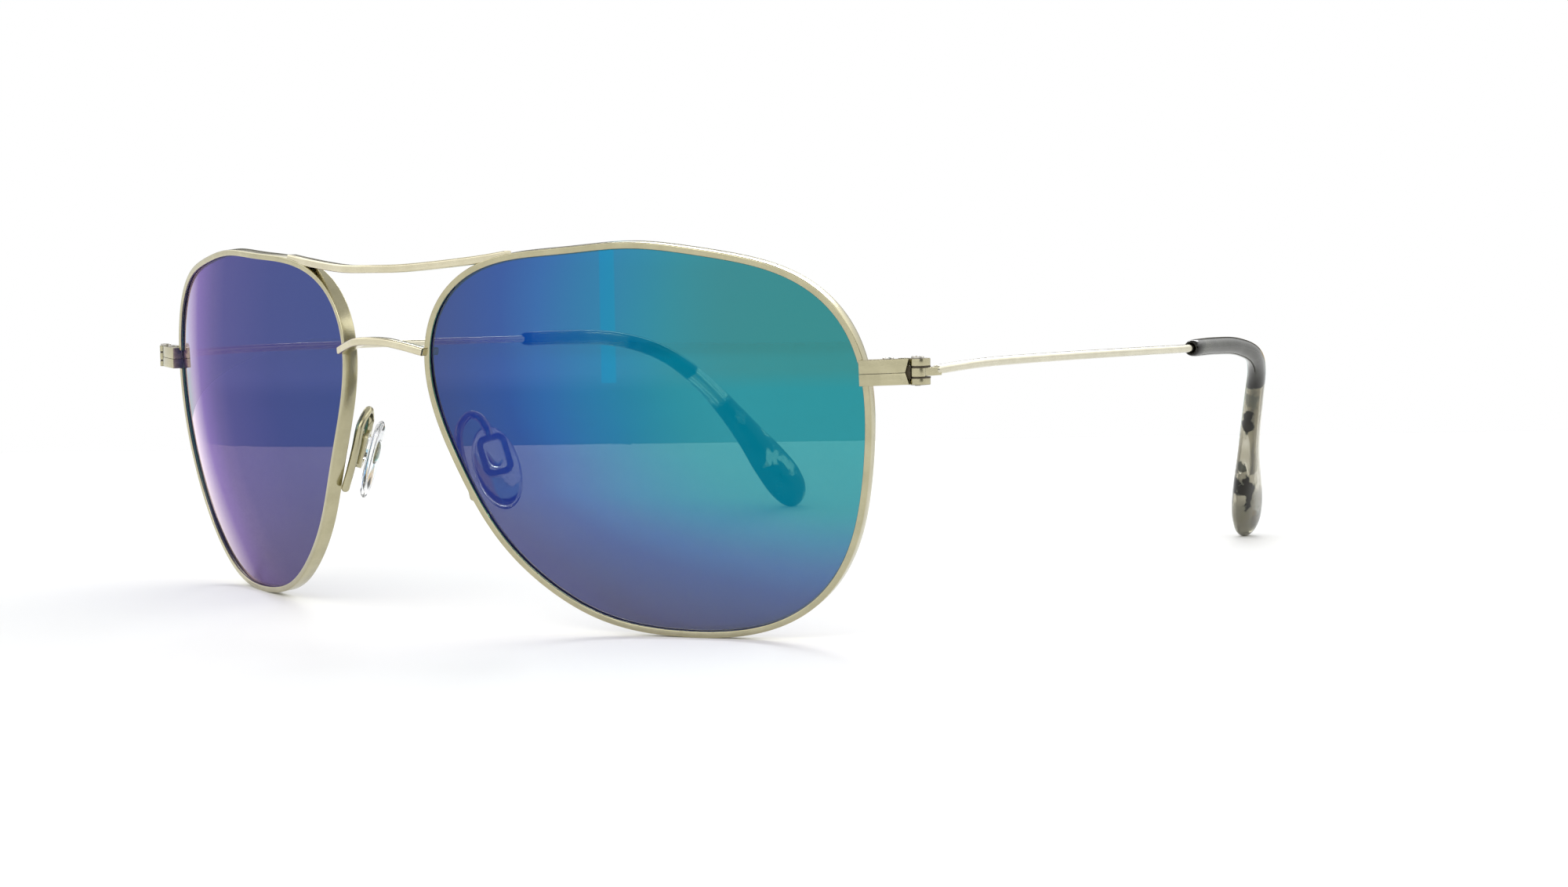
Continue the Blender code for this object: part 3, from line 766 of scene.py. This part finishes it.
def pad_finish():
    finish = Finish("clear_pad", (0.85, 0.88, 0.90))
    cloud = finish.noise(finish.place(), 0.5, detail=3.0)
    shader = finish.principled(IOR=1.42, Transmission_Weight=1.0)
    finish.link(
        finish.ramp(cloud, [(0.3, (0.90, 0.92, 0.94)), (0.7, (0.96, 0.97, 0.97))]),
        shader.inputs["Base Color"],
    )
    finish.link(finish.spread(cloud, 0.03, 0.1, (0.3, 0.7)), shader.inputs["Roughness"])
    finish.bump(finish.noise(finish.place(), 1.2, detail=2.0), 0.02 * MM, 0.4, shader)
    return finish.done(shader)


def tip_finish(name, shift, zones, patches):
    """Clouded acetate, in which dark parts let less light through.

    zones: (millimetres from the mouth, darkness).
    patches: (millimetres from the mouth, place across, half length, half width, darkness).
    """
    finish = Finish(name, (0.14, 0.13, 0.10))
    place = finish.place(shift=shift)
    wander = finish.noise(place, 0.3, detail=2.0)
    cloud = finish.noise(place, 0.35, detail=4.0, roughness=0.6)
    mouth = finish.add("ShaderNodeAttribute", attribute_name="along").outputs["Fac"]
    middle = finish.add("ShaderNodeAttribute", attribute_name="across").outputs["Fac"]
    along = finish.math("ADD", mouth, finish.spread(wander, -1.2, 1.2, (0.3, 0.7)))
    across = finish.math("ADD", middle, finish.spread(cloud, -0.25, 0.25, (0.3, 0.7)))
    stops = [(distance / TIP_LENGTH, (tone, tone, tone)) for distance, tone in zones]
    dark = finish.ramp(finish.math("DIVIDE", along, TIP_LENGTH), stops)
    for distance, side, length, width, tone in patches:
        off = finish.math("ABSOLUTE", finish.math("SUBTRACT", along, distance))
        aside = finish.math("ABSOLUTE", finish.math("SUBTRACT", across, side))
        off = finish.math("DIVIDE", off, length)
        aside = finish.math("DIVIDE", aside, width)
        reach = finish.math("ADD", off, aside)
        dark = finish.mix(finish.spread(reach, 1.0, 0.0, (0.85, 1.1)), dark, (tone, tone, tone))
    tone = finish.math("ADD", dark, finish.spread(cloud, -0.06, 0.06, (0.3, 0.7)))
    colour = finish.ramp(
        tone,
        [
            (0.0, (0.86, 0.85, 0.76)),
            (0.2, (0.66, 0.64, 0.53)),
            (0.4, (0.34, 0.31, 0.21)),
            (0.6, (0.115, 0.118, 0.09)),
            (0.8, (0.04, 0.042, 0.032)),
            (1.0, (0.006, 0.005, 0.003)),
        ],
    )
    shader = finish.principled(IOR=1.48, Specular_IOR_Level=0.3)
    finish.link(colour, shader.inputs["Base Color"])
    finish.link(finish.spread(tone, 0.9, 0.2, (0.3, 0.8)), shader.inputs["Transmission Weight"])
    finish.link(finish.spread(cloud, 0.03, 0.09, (0.3, 0.7)), shader.inputs["Roughness"])
    finish.bump(cloud, 0.03 * MM, 0.2, shader)
    return finish.done(shader)


def floor_finish():
    finish = Finish("pale_floor", (0.9, 0.9, 0.9))
    cloud = finish.noise(finish.place(), 0.02, detail=3.0)
    shader = finish.principled(Roughness=0.6, Specular_IOR_Level=0.2)
    finish.link(
        finish.ramp(cloud, [(0.3, (0.90, 0.90, 0.895)), (0.7, (0.92, 0.92, 0.915))]),
        shader.inputs["Base Color"],
    )
    return finish.done(shader)


# One plating in three brightnesses, painted light and shade: the rims, blocks, tongue and pad parts get a
# darker copy, and the temple wires and the bars lighter copies, for how light falls on them
metal = metal_finish("frame_metal", (0.49, 0.455, 0.30), (0.41, 0.38, 0.245), 0.18)
wire_metal_painted_lighter = metal_finish("wire_metal_painted_lighter", (0.64, 0.61, 0.48), (0.55, 0.52, 0.40), 0.16, (6, 0.5, 6))
bar_metal_painted_lighter = metal_finish("bar_metal_painted_lighter", (0.68, 0.63, 0.46), (0.59, 0.54, 0.38), 0.18)
# Painted shade: dark metal on the rounded edges of the bars, blocks and knuckles draws dark outlines along
# them
painted_shade_edge_metal = metal_finish("painted_shade_edge_metal", (0.22, 0.20, 0.14), (0.14, 0.125, 0.085), 0.3)
steel = metal_finish("screw_steel", (0.56, 0.54, 0.49), (0.38, 0.36, 0.33), 0.3)
# Painted shade: near-black metal on the wall and washers in the hinge, standing in for the shadow in its gaps
recess_painted_shade = metal_finish("recess_painted_shade_metal", (0.10, 0.085, 0.06), (0.05, 0.042, 0.03), 0.5)
coat = lens_coat()
glass = lens_body()
# Painted shade: the ground edge's dark navy stands in for the eyewire's shade on the lens edge
painted_shade_ground_edge = lens_edge()
pad_clear = pad_finish()
tip_left = tip_finish(
    "tip_acetate_left",
    (0, 0, 0),
    [
        (0, 1.0),
        (1.5, 0.95),
        (3, 0.64),
        (6, 0.76),
        (24, 0.8),
        (34, 0.93),
        (37.4, 1.0),
        (37.8, 0.36),
        (50, 0.3),
        (72, 0.4),
    ],
    [
        (64.0, -0.1, 8.0, 0.35, 0.05),
        (53.0, 0.35, 7.0, 0.3, 0.05),
        (40.5, -0.95, 2.4, 0.4, 0.6),
        (46.0, -1.1, 2.8, 0.42, 1.0),
        (55.0, -1.05, 1.2, 0.15, 0.8),
        (59.6, -0.75, 3.4, 0.42, 1.0),
        (69.5, 0.4, 6.5, 1.0, 0.62),
    ],
)
tip_right = tip_finish(
    "tip_acetate_right",
    (41, 13, 7),
    [
        (0, 1.0),
        (1.2, 0.9),
        (2.2, 0.5),
        (14, 0.5),
        (15, 0.35),
        (22, 0.4),
        (24, 0.95),
        (38.2, 1.0),
        (38.8, 0.1),
        (46.2, 0.1),
        (47.0, 0.97),
        (72, 0.9),
    ],
    [
        (51.0, 0.0, 2.0, 0.5, 0.2),
        (57.0, 1.0, 3.0, 0.5, 0.15),
        (61.0, -0.1, 2.6, 0.6, 0.12),
        (64.0, 0.45, 6.0, 0.3, 0.12),
        (71.5, 0.3, 1.6, 0.8, 0.2),
    ],
)

# ---------------------------------------------------------------- rims and lenses

lens_turn = (
    Matrix.Rotation(LENS_TILT, 4, "X")
    @ Matrix.Rotation(LENS_WRAP, 4, "Z")
    @ Matrix.Rotation(math.radians(90), 4, "X")
)
LENS_FRAME = FRONT @ Matrix.Translation((LENS_CENTRE_X, 0, 0)) @ lens_turn
BLOCK_FRAME = (
    FRONT
    @ Matrix.Translation(BLOCK_PLACE)
    @ Matrix.Rotation(BLOCK_TURN, 4, "Z")
    @ Matrix.Rotation(-BLOCK_RISE, 4, "Y")
)


def opening_radius(angle):
    """Smooth closed curve through the opening's radii."""
    count = len(OPENING_RADII)
    total = 0.0
    for i, radius in enumerate(OPENING_RADII):
        offset = angle - 2 * math.pi * i / count
        half = math.tan(offset / 2)
        weight = 1.0 if abs(half) < 1e-9 else math.sin(count * offset / 2) / (count * half)
        total += weight * radius
    return total * MM


def lens_point(angle, share=1.0, grow=0.0, depth=0.0):
    """Point on the lens sphere in the lens frame: X to the temple, Y up, Z out of the front."""
    radius = opening_radius(angle) * share + grow
    sag = LENS_SPHERE - math.sqrt(LENS_SPHERE**2 - radius**2)
    return Vector((radius * math.cos(angle), radius * math.sin(angle), -sag - depth))


def lens_piece():
    """The lens: its front faces carry the coat, and its bevelled edge is ground."""
    steps = 144
    angles = [2 * math.pi * i / steps for i in range(steps)]
    middle = LENS_RECESS + LENS_THICKNESS / 2
    shares = [0.02, 0.1, 0.2, 0.3, 0.4, 0.5, 0.6, 0.7, 0.8, 0.9, 0.97]
    levels = [(share, 0.0, LENS_RECESS) for share in shares]
    levels += [(1.0, 0.0, LENS_RECESS), (1.0, LENS_EDGE_IN_GROOVE, middle)]
    levels += [(1.0, 0.0, LENS_RECESS + LENS_THICKNESS)]
    levels += [(share, 0.0, LENS_RECESS + LENS_THICKNESS) for share in reversed(shares)]
    rings = [[lens_point(a, share, grow, depth) for a in angles] for share, grow, depth in levels]
    mesh = loft("lens", rings)
    front, back = len(shares) + 1, len(shares) + 2
    for face in mesh.polygons:
        first, last = min(face.vertices) // steps, max(face.vertices) // steps
        face.material_index = 0 if last < front else 1 if first >= back else 2
    return placed(mesh, LENS_FRAME)


def rim_section():
    """(across, up) section of the eyewire, with rounded outer corners and a V groove inside."""
    w, d, r, small = RIM_WIDTH, RIM_DEPTH, RIM_ROUNDING, RIM_SMALL_ROUNDING
    outline = circle(small, (small, -small), 4, math.pi, -math.pi / 2)
    outline += circle(r, (w - r, -r), 5, math.pi / 2, -math.pi / 2)
    outline += circle(r, (w - r, -d + r), 5, 0.0, -math.pi / 2)
    outline += circle(small, (small, -d + small), 4, -math.pi / 2, -math.pi / 2)
    outline += [(0.0, -d + GROOVE_LIP), (GROOVE_DEPTH, -d / 2), (0.0, -GROOVE_LIP)]
    return outline


def rim_ends():
    """Angles at which the eyewire goes into the top and into the bottom of the closing block."""
    to_block = BLOCK_FRAME.inverted() @ LENS_FRAME
    found = []
    for height in (BLOCK_TOP, BLOCK_BOTTOM):
        low, high = math.radians(-20), math.radians(60)
        for _ in range(40):
            middle = (low + high) / 2
            point = to_block @ lens_point(middle, grow=RIM_WIDTH / 2, depth=RIM_DEPTH / 2)
            low, high = (middle, high) if point.z < height else (low, middle)
        found.append((low + high) / 2)
    return found


def rim_piece():
    top, bottom = rim_ends()
    angles = np.linspace(top - 0.004, bottom + 0.004 + 2 * math.pi, 260)
    mesh = sweep("rim", [lens_point(a) for a in angles], rim_section())
    return placed(mesh, LENS_FRAME)


def rim_space():
    """Ring round the lens opening with the inner part of the eyewire: soldered bars stay out of it."""
    steps = 144
    inner, outer, front, back = -3 * MM, 0.3 * MM, 0.6 * MM, -3 * MM
    section = [(inner, front), (outer, front), (outer, back), (inner, back)]
    line = [lens_point(2 * math.pi * i / steps) for i in range(steps)]
    return placed(sweep("space", line, section, cyclic=True), LENS_FRAME)


lens_materials = [coat, glass, painted_shade_ground_edge]
for lens in add_pair("lens_fine", lens_piece(), "front", "lens", lens_materials, 40):
    lens.visible_shadow = False
add_pair("rim_fine", rim_piece(), "front", "rim", [metal])

# ---------------------------------------------------------------- bars


def bar_piece(name, half_line, depth):
    """Bar over the nose, cut where it meets the eyewires, with painted shade on its rounded edges: darker
    metal that draws dark outlines.
    """
    left = [Vector(point) for point in half_line]
    right = [Vector((-point.x, point.y, point.z)) for point in reversed(left[1:])]
    line = smooth_line([tuple(point) for point in right + left], 0.35) * MM
    mesh = sweep(name, line, rounded_rectangle(depth, BAR_HEIGHT, BAR_ROUNDING))
    mesh.transform(FRONT)
    mesh.materials.append(None)
    mesh.materials.append(None)
    space = rim_space()
    other = space.copy()
    other.transform(Matrix.Diagonal((-1, 1, 1, 1)))
    other.flip_normals()
    mesh = with_modifiers(mesh, less(space), less(other), bevel(BAR_EDGE, 2, 50))
    remove_cutters()
    return mesh


# The bars carry the lighter copy of the plating: painted light
for bar, half_line, depth in (
    ("brow_bar", BROW_LINE, BROW_DEPTH),
    ("bridge", BRIDGE_LINE, BRIDGE_DEPTH),
):
    mesh = bar_piece(bar, half_line, depth)
    add_piece(f"{bar}_fine", mesh, "front", bar, [bar_metal_painted_lighter, painted_shade_edge_metal])

# ---------------------------------------------------------------- closing block, hinge and screws

# Closing block halves and knuckles; the dark metal on their rounded edges is painted shade
for half in ("upper", "lower"):
    for part, edge in (("endpiece", BLOCK_EDGE), ("hinge_knuckle", KNUCKLE_EDGE)):
        node = f"{part}_{half}"
        mesh = fine_copy(f"{node}_left", edge)
        add_pair(f"{node}_fine", mesh, "front", node, [metal, painted_shade_edge_metal])


def recess_mesh():
    """Wall between the knuckles in front of the tongue, and washers above and below the tongue; both carry
    painted shade.
    """
    wall = [(x * MM, y * MM) for x, y in RECESS_OUTLINE]
    hole = circle(HINGE_SCREW_RADIUS, steps=24)
    washer = circle(WASHER_RADIUS, steps=24, start=math.pi, turn=math.pi)
    washer += [(WASHER_RADIUS, WASHER_REACH), (-WASHER_RADIUS, WASHER_REACH)]
    shape = bmesh.new()
    shape.from_mesh(plate("recess_painted_shade", [wall], *RECESS_HEIGHTS))
    for heights in WASHER_HEIGHTS:
        shape.from_mesh(plate("recess_painted_shade", [washer, hole], *heights))
    mesh = bpy.data.meshes.new("recess_painted_shade")
    shape.to_mesh(mesh)
    shape.free()
    return placed(mesh, Matrix.Translation(HINGE))


# The wall and washers are near-black: painted shade in the hinge's gaps
add_pair("hinge_recess_painted_shade", recess_mesh(), "front", None, [recess_painted_shade])
tongue_mesh = fine_copy("temple_tongue_left", TONGUE_EDGE, 5)
add_pair("temple_tongue_fine", tongue_mesh, "temple", "temple_tongue", [metal, metal])


def screw_piece(name, radius, head, ends, matrix):
    """Slotted screw along Z. ends: the heights of the face under its head and of the shank's end."""
    head_radius, head_height = head
    seat, end = ends[0] + SCREW_SEAT, ends[1]
    top = seat + head_height
    corner = (head_radius - SCREW_HEAD_ROUNDING, top - SCREW_HEAD_ROUNDING)
    inset, rise = SCREW_POINT
    profile = [(0.0, top)]
    profile += circle(SCREW_HEAD_ROUNDING, corner, 5, math.pi / 2, -math.pi / 2)
    profile += [(head_radius, seat), (radius, seat)]
    profile += [(radius, end + rise), (radius - inset, end), (0.0, end)]
    width, depth = SCREW_SLOT
    slot = box_mesh((width, 4 * head_radius, 2 * depth), (0, 0, top), SCREW_SLOT_TURN)
    mesh = with_modifiers(turned(name, profile), less(slot))
    remove_cutters()
    return placed(mesh, matrix)


closing_screw_frame = BLOCK_FRAME @ Matrix.Translation(CLOSING_SCREW_PLACE)
for name, radius, head, ends, matrix in (
    ("hinge_screw", HINGE_SCREW_RADIUS, HINGE_SCREW_HEAD, HINGE_SCREW_ENDS, Matrix.Translation(HINGE)),
    (
        "closing_screw",
        CLOSING_SCREW_RADIUS,
        CLOSING_SCREW_HEAD,
        CLOSING_SCREW_ENDS,
        closing_screw_frame,
    ),
):
    mesh = screw_piece(name, radius, head, ends, matrix)
    add_pair(f"{name}_fine", mesh, "front", name, [steel])

# ---------------------------------------------------------------- nose pads

pad_up = PAD_UP.normalized()
pad_facing = (PAD_FACING - pad_up * PAD_FACING.dot(pad_up)).normalized()
pad_turn = Matrix((pad_up.cross(pad_facing), pad_up, pad_facing)).transposed()
PAD_FRAME = FRONT @ Matrix.Translation(PAD_BOX_CENTRE) @ pad_turn.to_4x4()


def pad_box_piece():
    width, length = PAD_BOX_OUTER
    outer_corner, inner_corner = PAD_BOX_CORNERS
    outer = rounded_rectangle(width, length, outer_corner, 8)
    inner = rounded_rectangle(width - 2 * PAD_BOX_WALL, length - 2 * PAD_BOX_WALL, inner_corner, 6)
    mesh = plate("pad_box", [outer, inner], -PAD_BOX_THICKNESS / 2, PAD_BOX_THICKNESS / 2)
    return placed(with_modifiers(mesh, bevel(PAD_BOX_EDGE, 3, 40)), PAD_FRAME)


def pad_arm_piece():
    """Goose-neck wire from the eyewire to the top of the pad's box, with a collar near the box."""
    length = PAD_BOX_OUTER[1]
    to_front = FRONT.inverted() @ PAD_FRAME
    end = to_front @ Vector((0, length / 2 - 0.1 * MM, 0))
    above = to_front @ Vector((0, length / 2 + 0.7 * MM, 0))
    line = smooth_line(PAD_ARM_LINE + [tuple(above / MM), tuple(end / MM)], 0.22) * MM
    from_end = np.linspace(1, 0, len(line))
    swelling, place, width = PAD_ARM_COLLAR
    radii = PAD_ARM_RADIUS * (1 + swelling * np.exp(-(((from_end - place) / width) ** 2)))
    mesh = tube("pad_arm", line, radii, up=Vector((0.3, 1, 0.1)).normalized())
    return placed(mesh, FRONT)


def nose_pad_piece():
    """Pad with its stud. The pad hangs lower than the stud."""
    rings = []
    for ovals, drop in ((PAD_STUD_OVALS, 0.0), (PAD_OVALS, -PAD_DROP)):
        for half_width, half_length, height in ovals:
            ring = circle(MM, steps=48)
            rings.append([Vector((x * half_width, y * half_length + drop, height * MM)) for x, y in ring])
    return placed(loft("nose_pad", rings), PAD_FRAME)


add_pair("pad_box_fine", pad_box_piece(), "front", "pad_box", [metal])
add_pair("pad_arm_fine", pad_arm_piece(), "front", "pad_arm", [metal])
add_pair("nose_pad_fine", nose_pad_piece(), "pad", "nose_pad", [pad_clear], sharp=50)

# ---------------------------------------------------------------- temples

temple_line = smooth_line(TEMPLE_LINE, 0.4) * MM
temple_travel = np.concatenate([[0], np.cumsum(np.linalg.norm(np.diff(temple_line, axis=0), axis=1))])
temple_heading = np.gradient(temple_line, axis=0)
TEMPLE_FRAME = Matrix.Translation(HINGE)


def temple_at(distance):
    """Place and heading on the temple's centre line."""
    place = [np.interp(distance, temple_travel, temple_line[:, axis]) for axis in range(3)]
    heading = [np.interp(distance, temple_travel, temple_heading[:, axis]) for axis in range(3)]
    return Vector(place), Vector(heading).normalized()


def tip_ring(distance, width, thickness, sides=40):
    """Oval ring across the temple's centre line."""
    centre, heading = temple_at(distance)
    wide = (TIP_WIDE_DIRECTION - heading * TIP_WIDE_DIRECTION.dot(heading)).normalized()
    thin = heading.cross(wide)
    return [centre + wide * (x * width) + thin * (y * thickness) for x, y in circle(0.5, steps=sides)]


def wire_piece():
    stops = np.linspace(0, CORE_END, 340)
    line = [temple_at(stop)[0] for stop in stops]
    start = temple_at(0.0)
    line = [start[0] - start[1] * WIRE_IN_TONGUE] + line
    return placed(tube("temple_wire", line, WIRE_RADIUS, sides=20), TEMPLE_FRAME)


def tip_piece():
    """Tip from the end of its bore to the mouth, round the mouth and back to its own end.

    Each point also gets its distance from the mouth and its place across, from -1 to 1.
    """
    bore = 2 * TIP_BORE_RADIUS
    mouth = TIP_MOUTH_ROUNDING
    stops = np.linspace(CORE_END + TIP_BORE_PAST_CORE, TIP_START + 2 * mouth, 60)
    rings = [tip_ring(stop, bore, bore) for stop in stops]
    for a in np.linspace(0.0, math.pi / 2, 5)[1:]:
        size = bore + 2 * mouth * (1 - math.cos(a))
        rings.append(tip_ring(TIP_START + mouth * (1 - math.sin(a)), size, size))
    last = TIP_SECTIONS[-1][0] * MM
    stops = np.concatenate([np.linspace(0.05 * MM, 2 * MM, 8), np.linspace(2.6 * MM, last, 110)])
    widths, thicknesses = smooth_values(stops / MM, TIP_SECTIONS)
    for stop, width, thickness in zip(stops, widths * MM, thicknesses * MM):
        rings.append(tip_ring(TIP_START + stop, width, thickness))
    mesh = loft("temple_tip", rings)
    along = mesh.attributes.new("along", "FLOAT", "POINT")
    across = mesh.attributes.new("across", "FLOAT", "POINT")
    for vertex in mesh.vertices:
        nearest = np.argmin(np.linalg.norm(temple_line - np.array(vertex.co), axis=1))
        distance = temple_travel[nearest] - TIP_START
        width = smooth_values(np.array([distance / MM]), TIP_SECTIONS)[0][0] * MM
        wide = TIP_WIDE_DIRECTION.dot(vertex.co - Vector(temple_line[nearest]))
        along.data[vertex.index].value = distance / MM
        across.data[vertex.index].value = 2 * wide / width
    return placed(mesh, TEMPLE_FRAME)


# The wires carry the lighter copy of the plating: painted light
add_pair("temple_wire_fine", wire_piece(), "temple", "temple_wire", [wire_metal_painted_lighter])
add_pair(
    "temple_tip_fine",
    tip_piece(),
    "temple",
    "temple_tip",
    [tip_left],
    sharp=60,
    right_materials=[tip_right],
)

# ---------------------------------------------------------------- camera, floor and light


def add_camera():
    """Camera of the scene. Gives the direction from the object to it."""
    toward = Vector(
        (
            math.sin(CAMERA_AZIMUTH) * math.cos(CAMERA_ELEVATION),
            -math.cos(CAMERA_AZIMUTH) * math.cos(CAMERA_ELEVATION),
            math.sin(CAMERA_ELEVATION),
        )
    )
    side = Vector((0, 0, 1)).cross(toward).normalized()
    up = toward.cross(side)
    turned_side = side * math.cos(CAMERA_ROLL) + up * math.sin(CAMERA_ROLL)
    turned_up = up * math.cos(CAMERA_ROLL) - side * math.sin(CAMERA_ROLL)
    place = toward * CAMERA_DISTANCE + turned_side * CAMERA_SIDE + turned_up * CAMERA_RISE
    axes = Matrix((turned_side, turned_up, toward)).transposed().to_4x4()
    data = bpy.data.cameras.new("camera")
    data.lens = CAMERA_LENS
    data.clip_start = 0.01
    camera = bpy.data.objects.new("camera", data)
    camera.matrix_world = Matrix.Translation(FRONT.translation + place) @ axes
    bpy.context.scene.collection.objects.link(camera)
    bpy.context.scene.camera = camera
    return toward


def add_floor():
    """Table top whose far edge is a little way behind the temple tips."""
    near, far = -FLOOR_NEAR, FLOOR_FAR
    corners = [(-FLOOR_SIDE, near), (FLOOR_SIDE, near), (FLOOR_SIDE, far), (-FLOOR_SIDE, far)]
    mesh = plate("floor", [corners], -FLOOR_THICKNESS, 0.0)
    mesh.transform(Matrix.Rotation(CAMERA_AZIMUTH, 4, "Z"))
    mesh.materials.append(floor_finish())
    floor = bpy.data.objects.new("floor", mesh)
    bpy.context.scene.collection.objects.link(floor)


def add_light(name, place, **settings):
    """Area lamp at a place, pointing at the origin."""
    data = bpy.data.lights.new(name, "AREA")
    for key, value in settings.items():
        setattr(data, key, value)
    light = bpy.data.objects.new(name, data)
    light.location = place
    light.rotation_euler = (-Vector(place)).to_track_quat("-Z", "Y").to_euler()
    bpy.context.scene.collection.objects.link(light)


def add_world(toward):
    """White behind the object for the eye.

    Reflections and light see a bright room, with a darker wall behind the object and a dark flag beside it.
    """
    world = bpy.data.worlds.new("studio")
    world.use_nodes = True
    bpy.context.scene.world = world
    nodes = Nodes(world.node_tree)
    direction = nodes.add("ShaderNodeTexCoord").outputs["Generated"]
    split = nodes.add("ShaderNodeSeparateXYZ")
    nodes.link(direction, split.inputs["Vector"])
    height = nodes.spread(split.outputs["Z"], 0.0, 1.0, (-1.0, 1.0))

    def by_height(stops):
        return nodes.ramp(height, [((part + 1) / 2, colour) for part, colour in stops])

    def part_along(axis):
        node = nodes.add("ShaderNodeVectorMath", operation="DOT_PRODUCT")
        node.inputs[1].default_value = axis
        nodes.link(direction, node.inputs[0])
        return node.outputs["Value"]

    sideways = part_along((-toward.y, toward.x, 0.0))
    away = part_along((-toward.x, -toward.y, 0.0))

    turn = nodes.spread(sideways, 0.0, 1.0, WALL_TURN, "SMOOTHSTEP")
    wall = nodes.mix(turn, by_height(COOL_WALL_BY_HEIGHT), by_height(WARM_WALL_BY_HEIGHT))
    left, right = WALL_STRIP
    in_strip = nodes.math("COMPARE", sideways, (left + right) / 2, (right - left) / 2)
    above_foot = nodes.math("GREATER_THAN", split.outputs["Z"], WALL_FOOT)
    wall = nodes.mix(nodes.math("MULTIPLY", in_strip, above_foot), wall, WALL_STRIP_COLOUR)

    behind = nodes.spread(away, 0.0, 1.0, WALL_START, "SMOOTHSTEP")
    room = nodes.mix(behind, by_height(ROOM_BY_HEIGHT), wall)
    flag = nodes.spread(split.outputs["X"], 0.0, FLAG_SHARE, FLAG_START, "SMOOTHSTEP")
    room = nodes.mix(flag, room, FLAG_COLOUR)

    studio = nodes.add("ShaderNodeBackground")
    nodes.link(room, studio.inputs["Color"])
    white = nodes.set(nodes.add("ShaderNodeBackground"), Color=(1, 1, 1, 1))
    path = nodes.add("ShaderNodeLightPath")
    mix = nodes.add("ShaderNodeMixShader")
    nodes.link(path.outputs["Is Camera Ray"], mix.inputs["Fac"])
    nodes.link(studio.outputs[0], mix.inputs[1])
    nodes.link(white.outputs[0], mix.inputs[2])
    output = nodes.add("ShaderNodeOutputWorld")
    nodes.link(mix.outputs[0], output.inputs["Surface"])


toward_camera = add_camera()
add_floor()
add_world(toward_camera)
add_light("front_softbox", (0.15, -0.75, 0.5), energy=0.7, size=0.3)
add_light("rear_strip", (-0.35, 0.75, 0.55), energy=3.0, shape="RECTANGLE", size=0.7, size_y=0.12)
bpy.context.scene.view_settings.view_transform = "Standard"
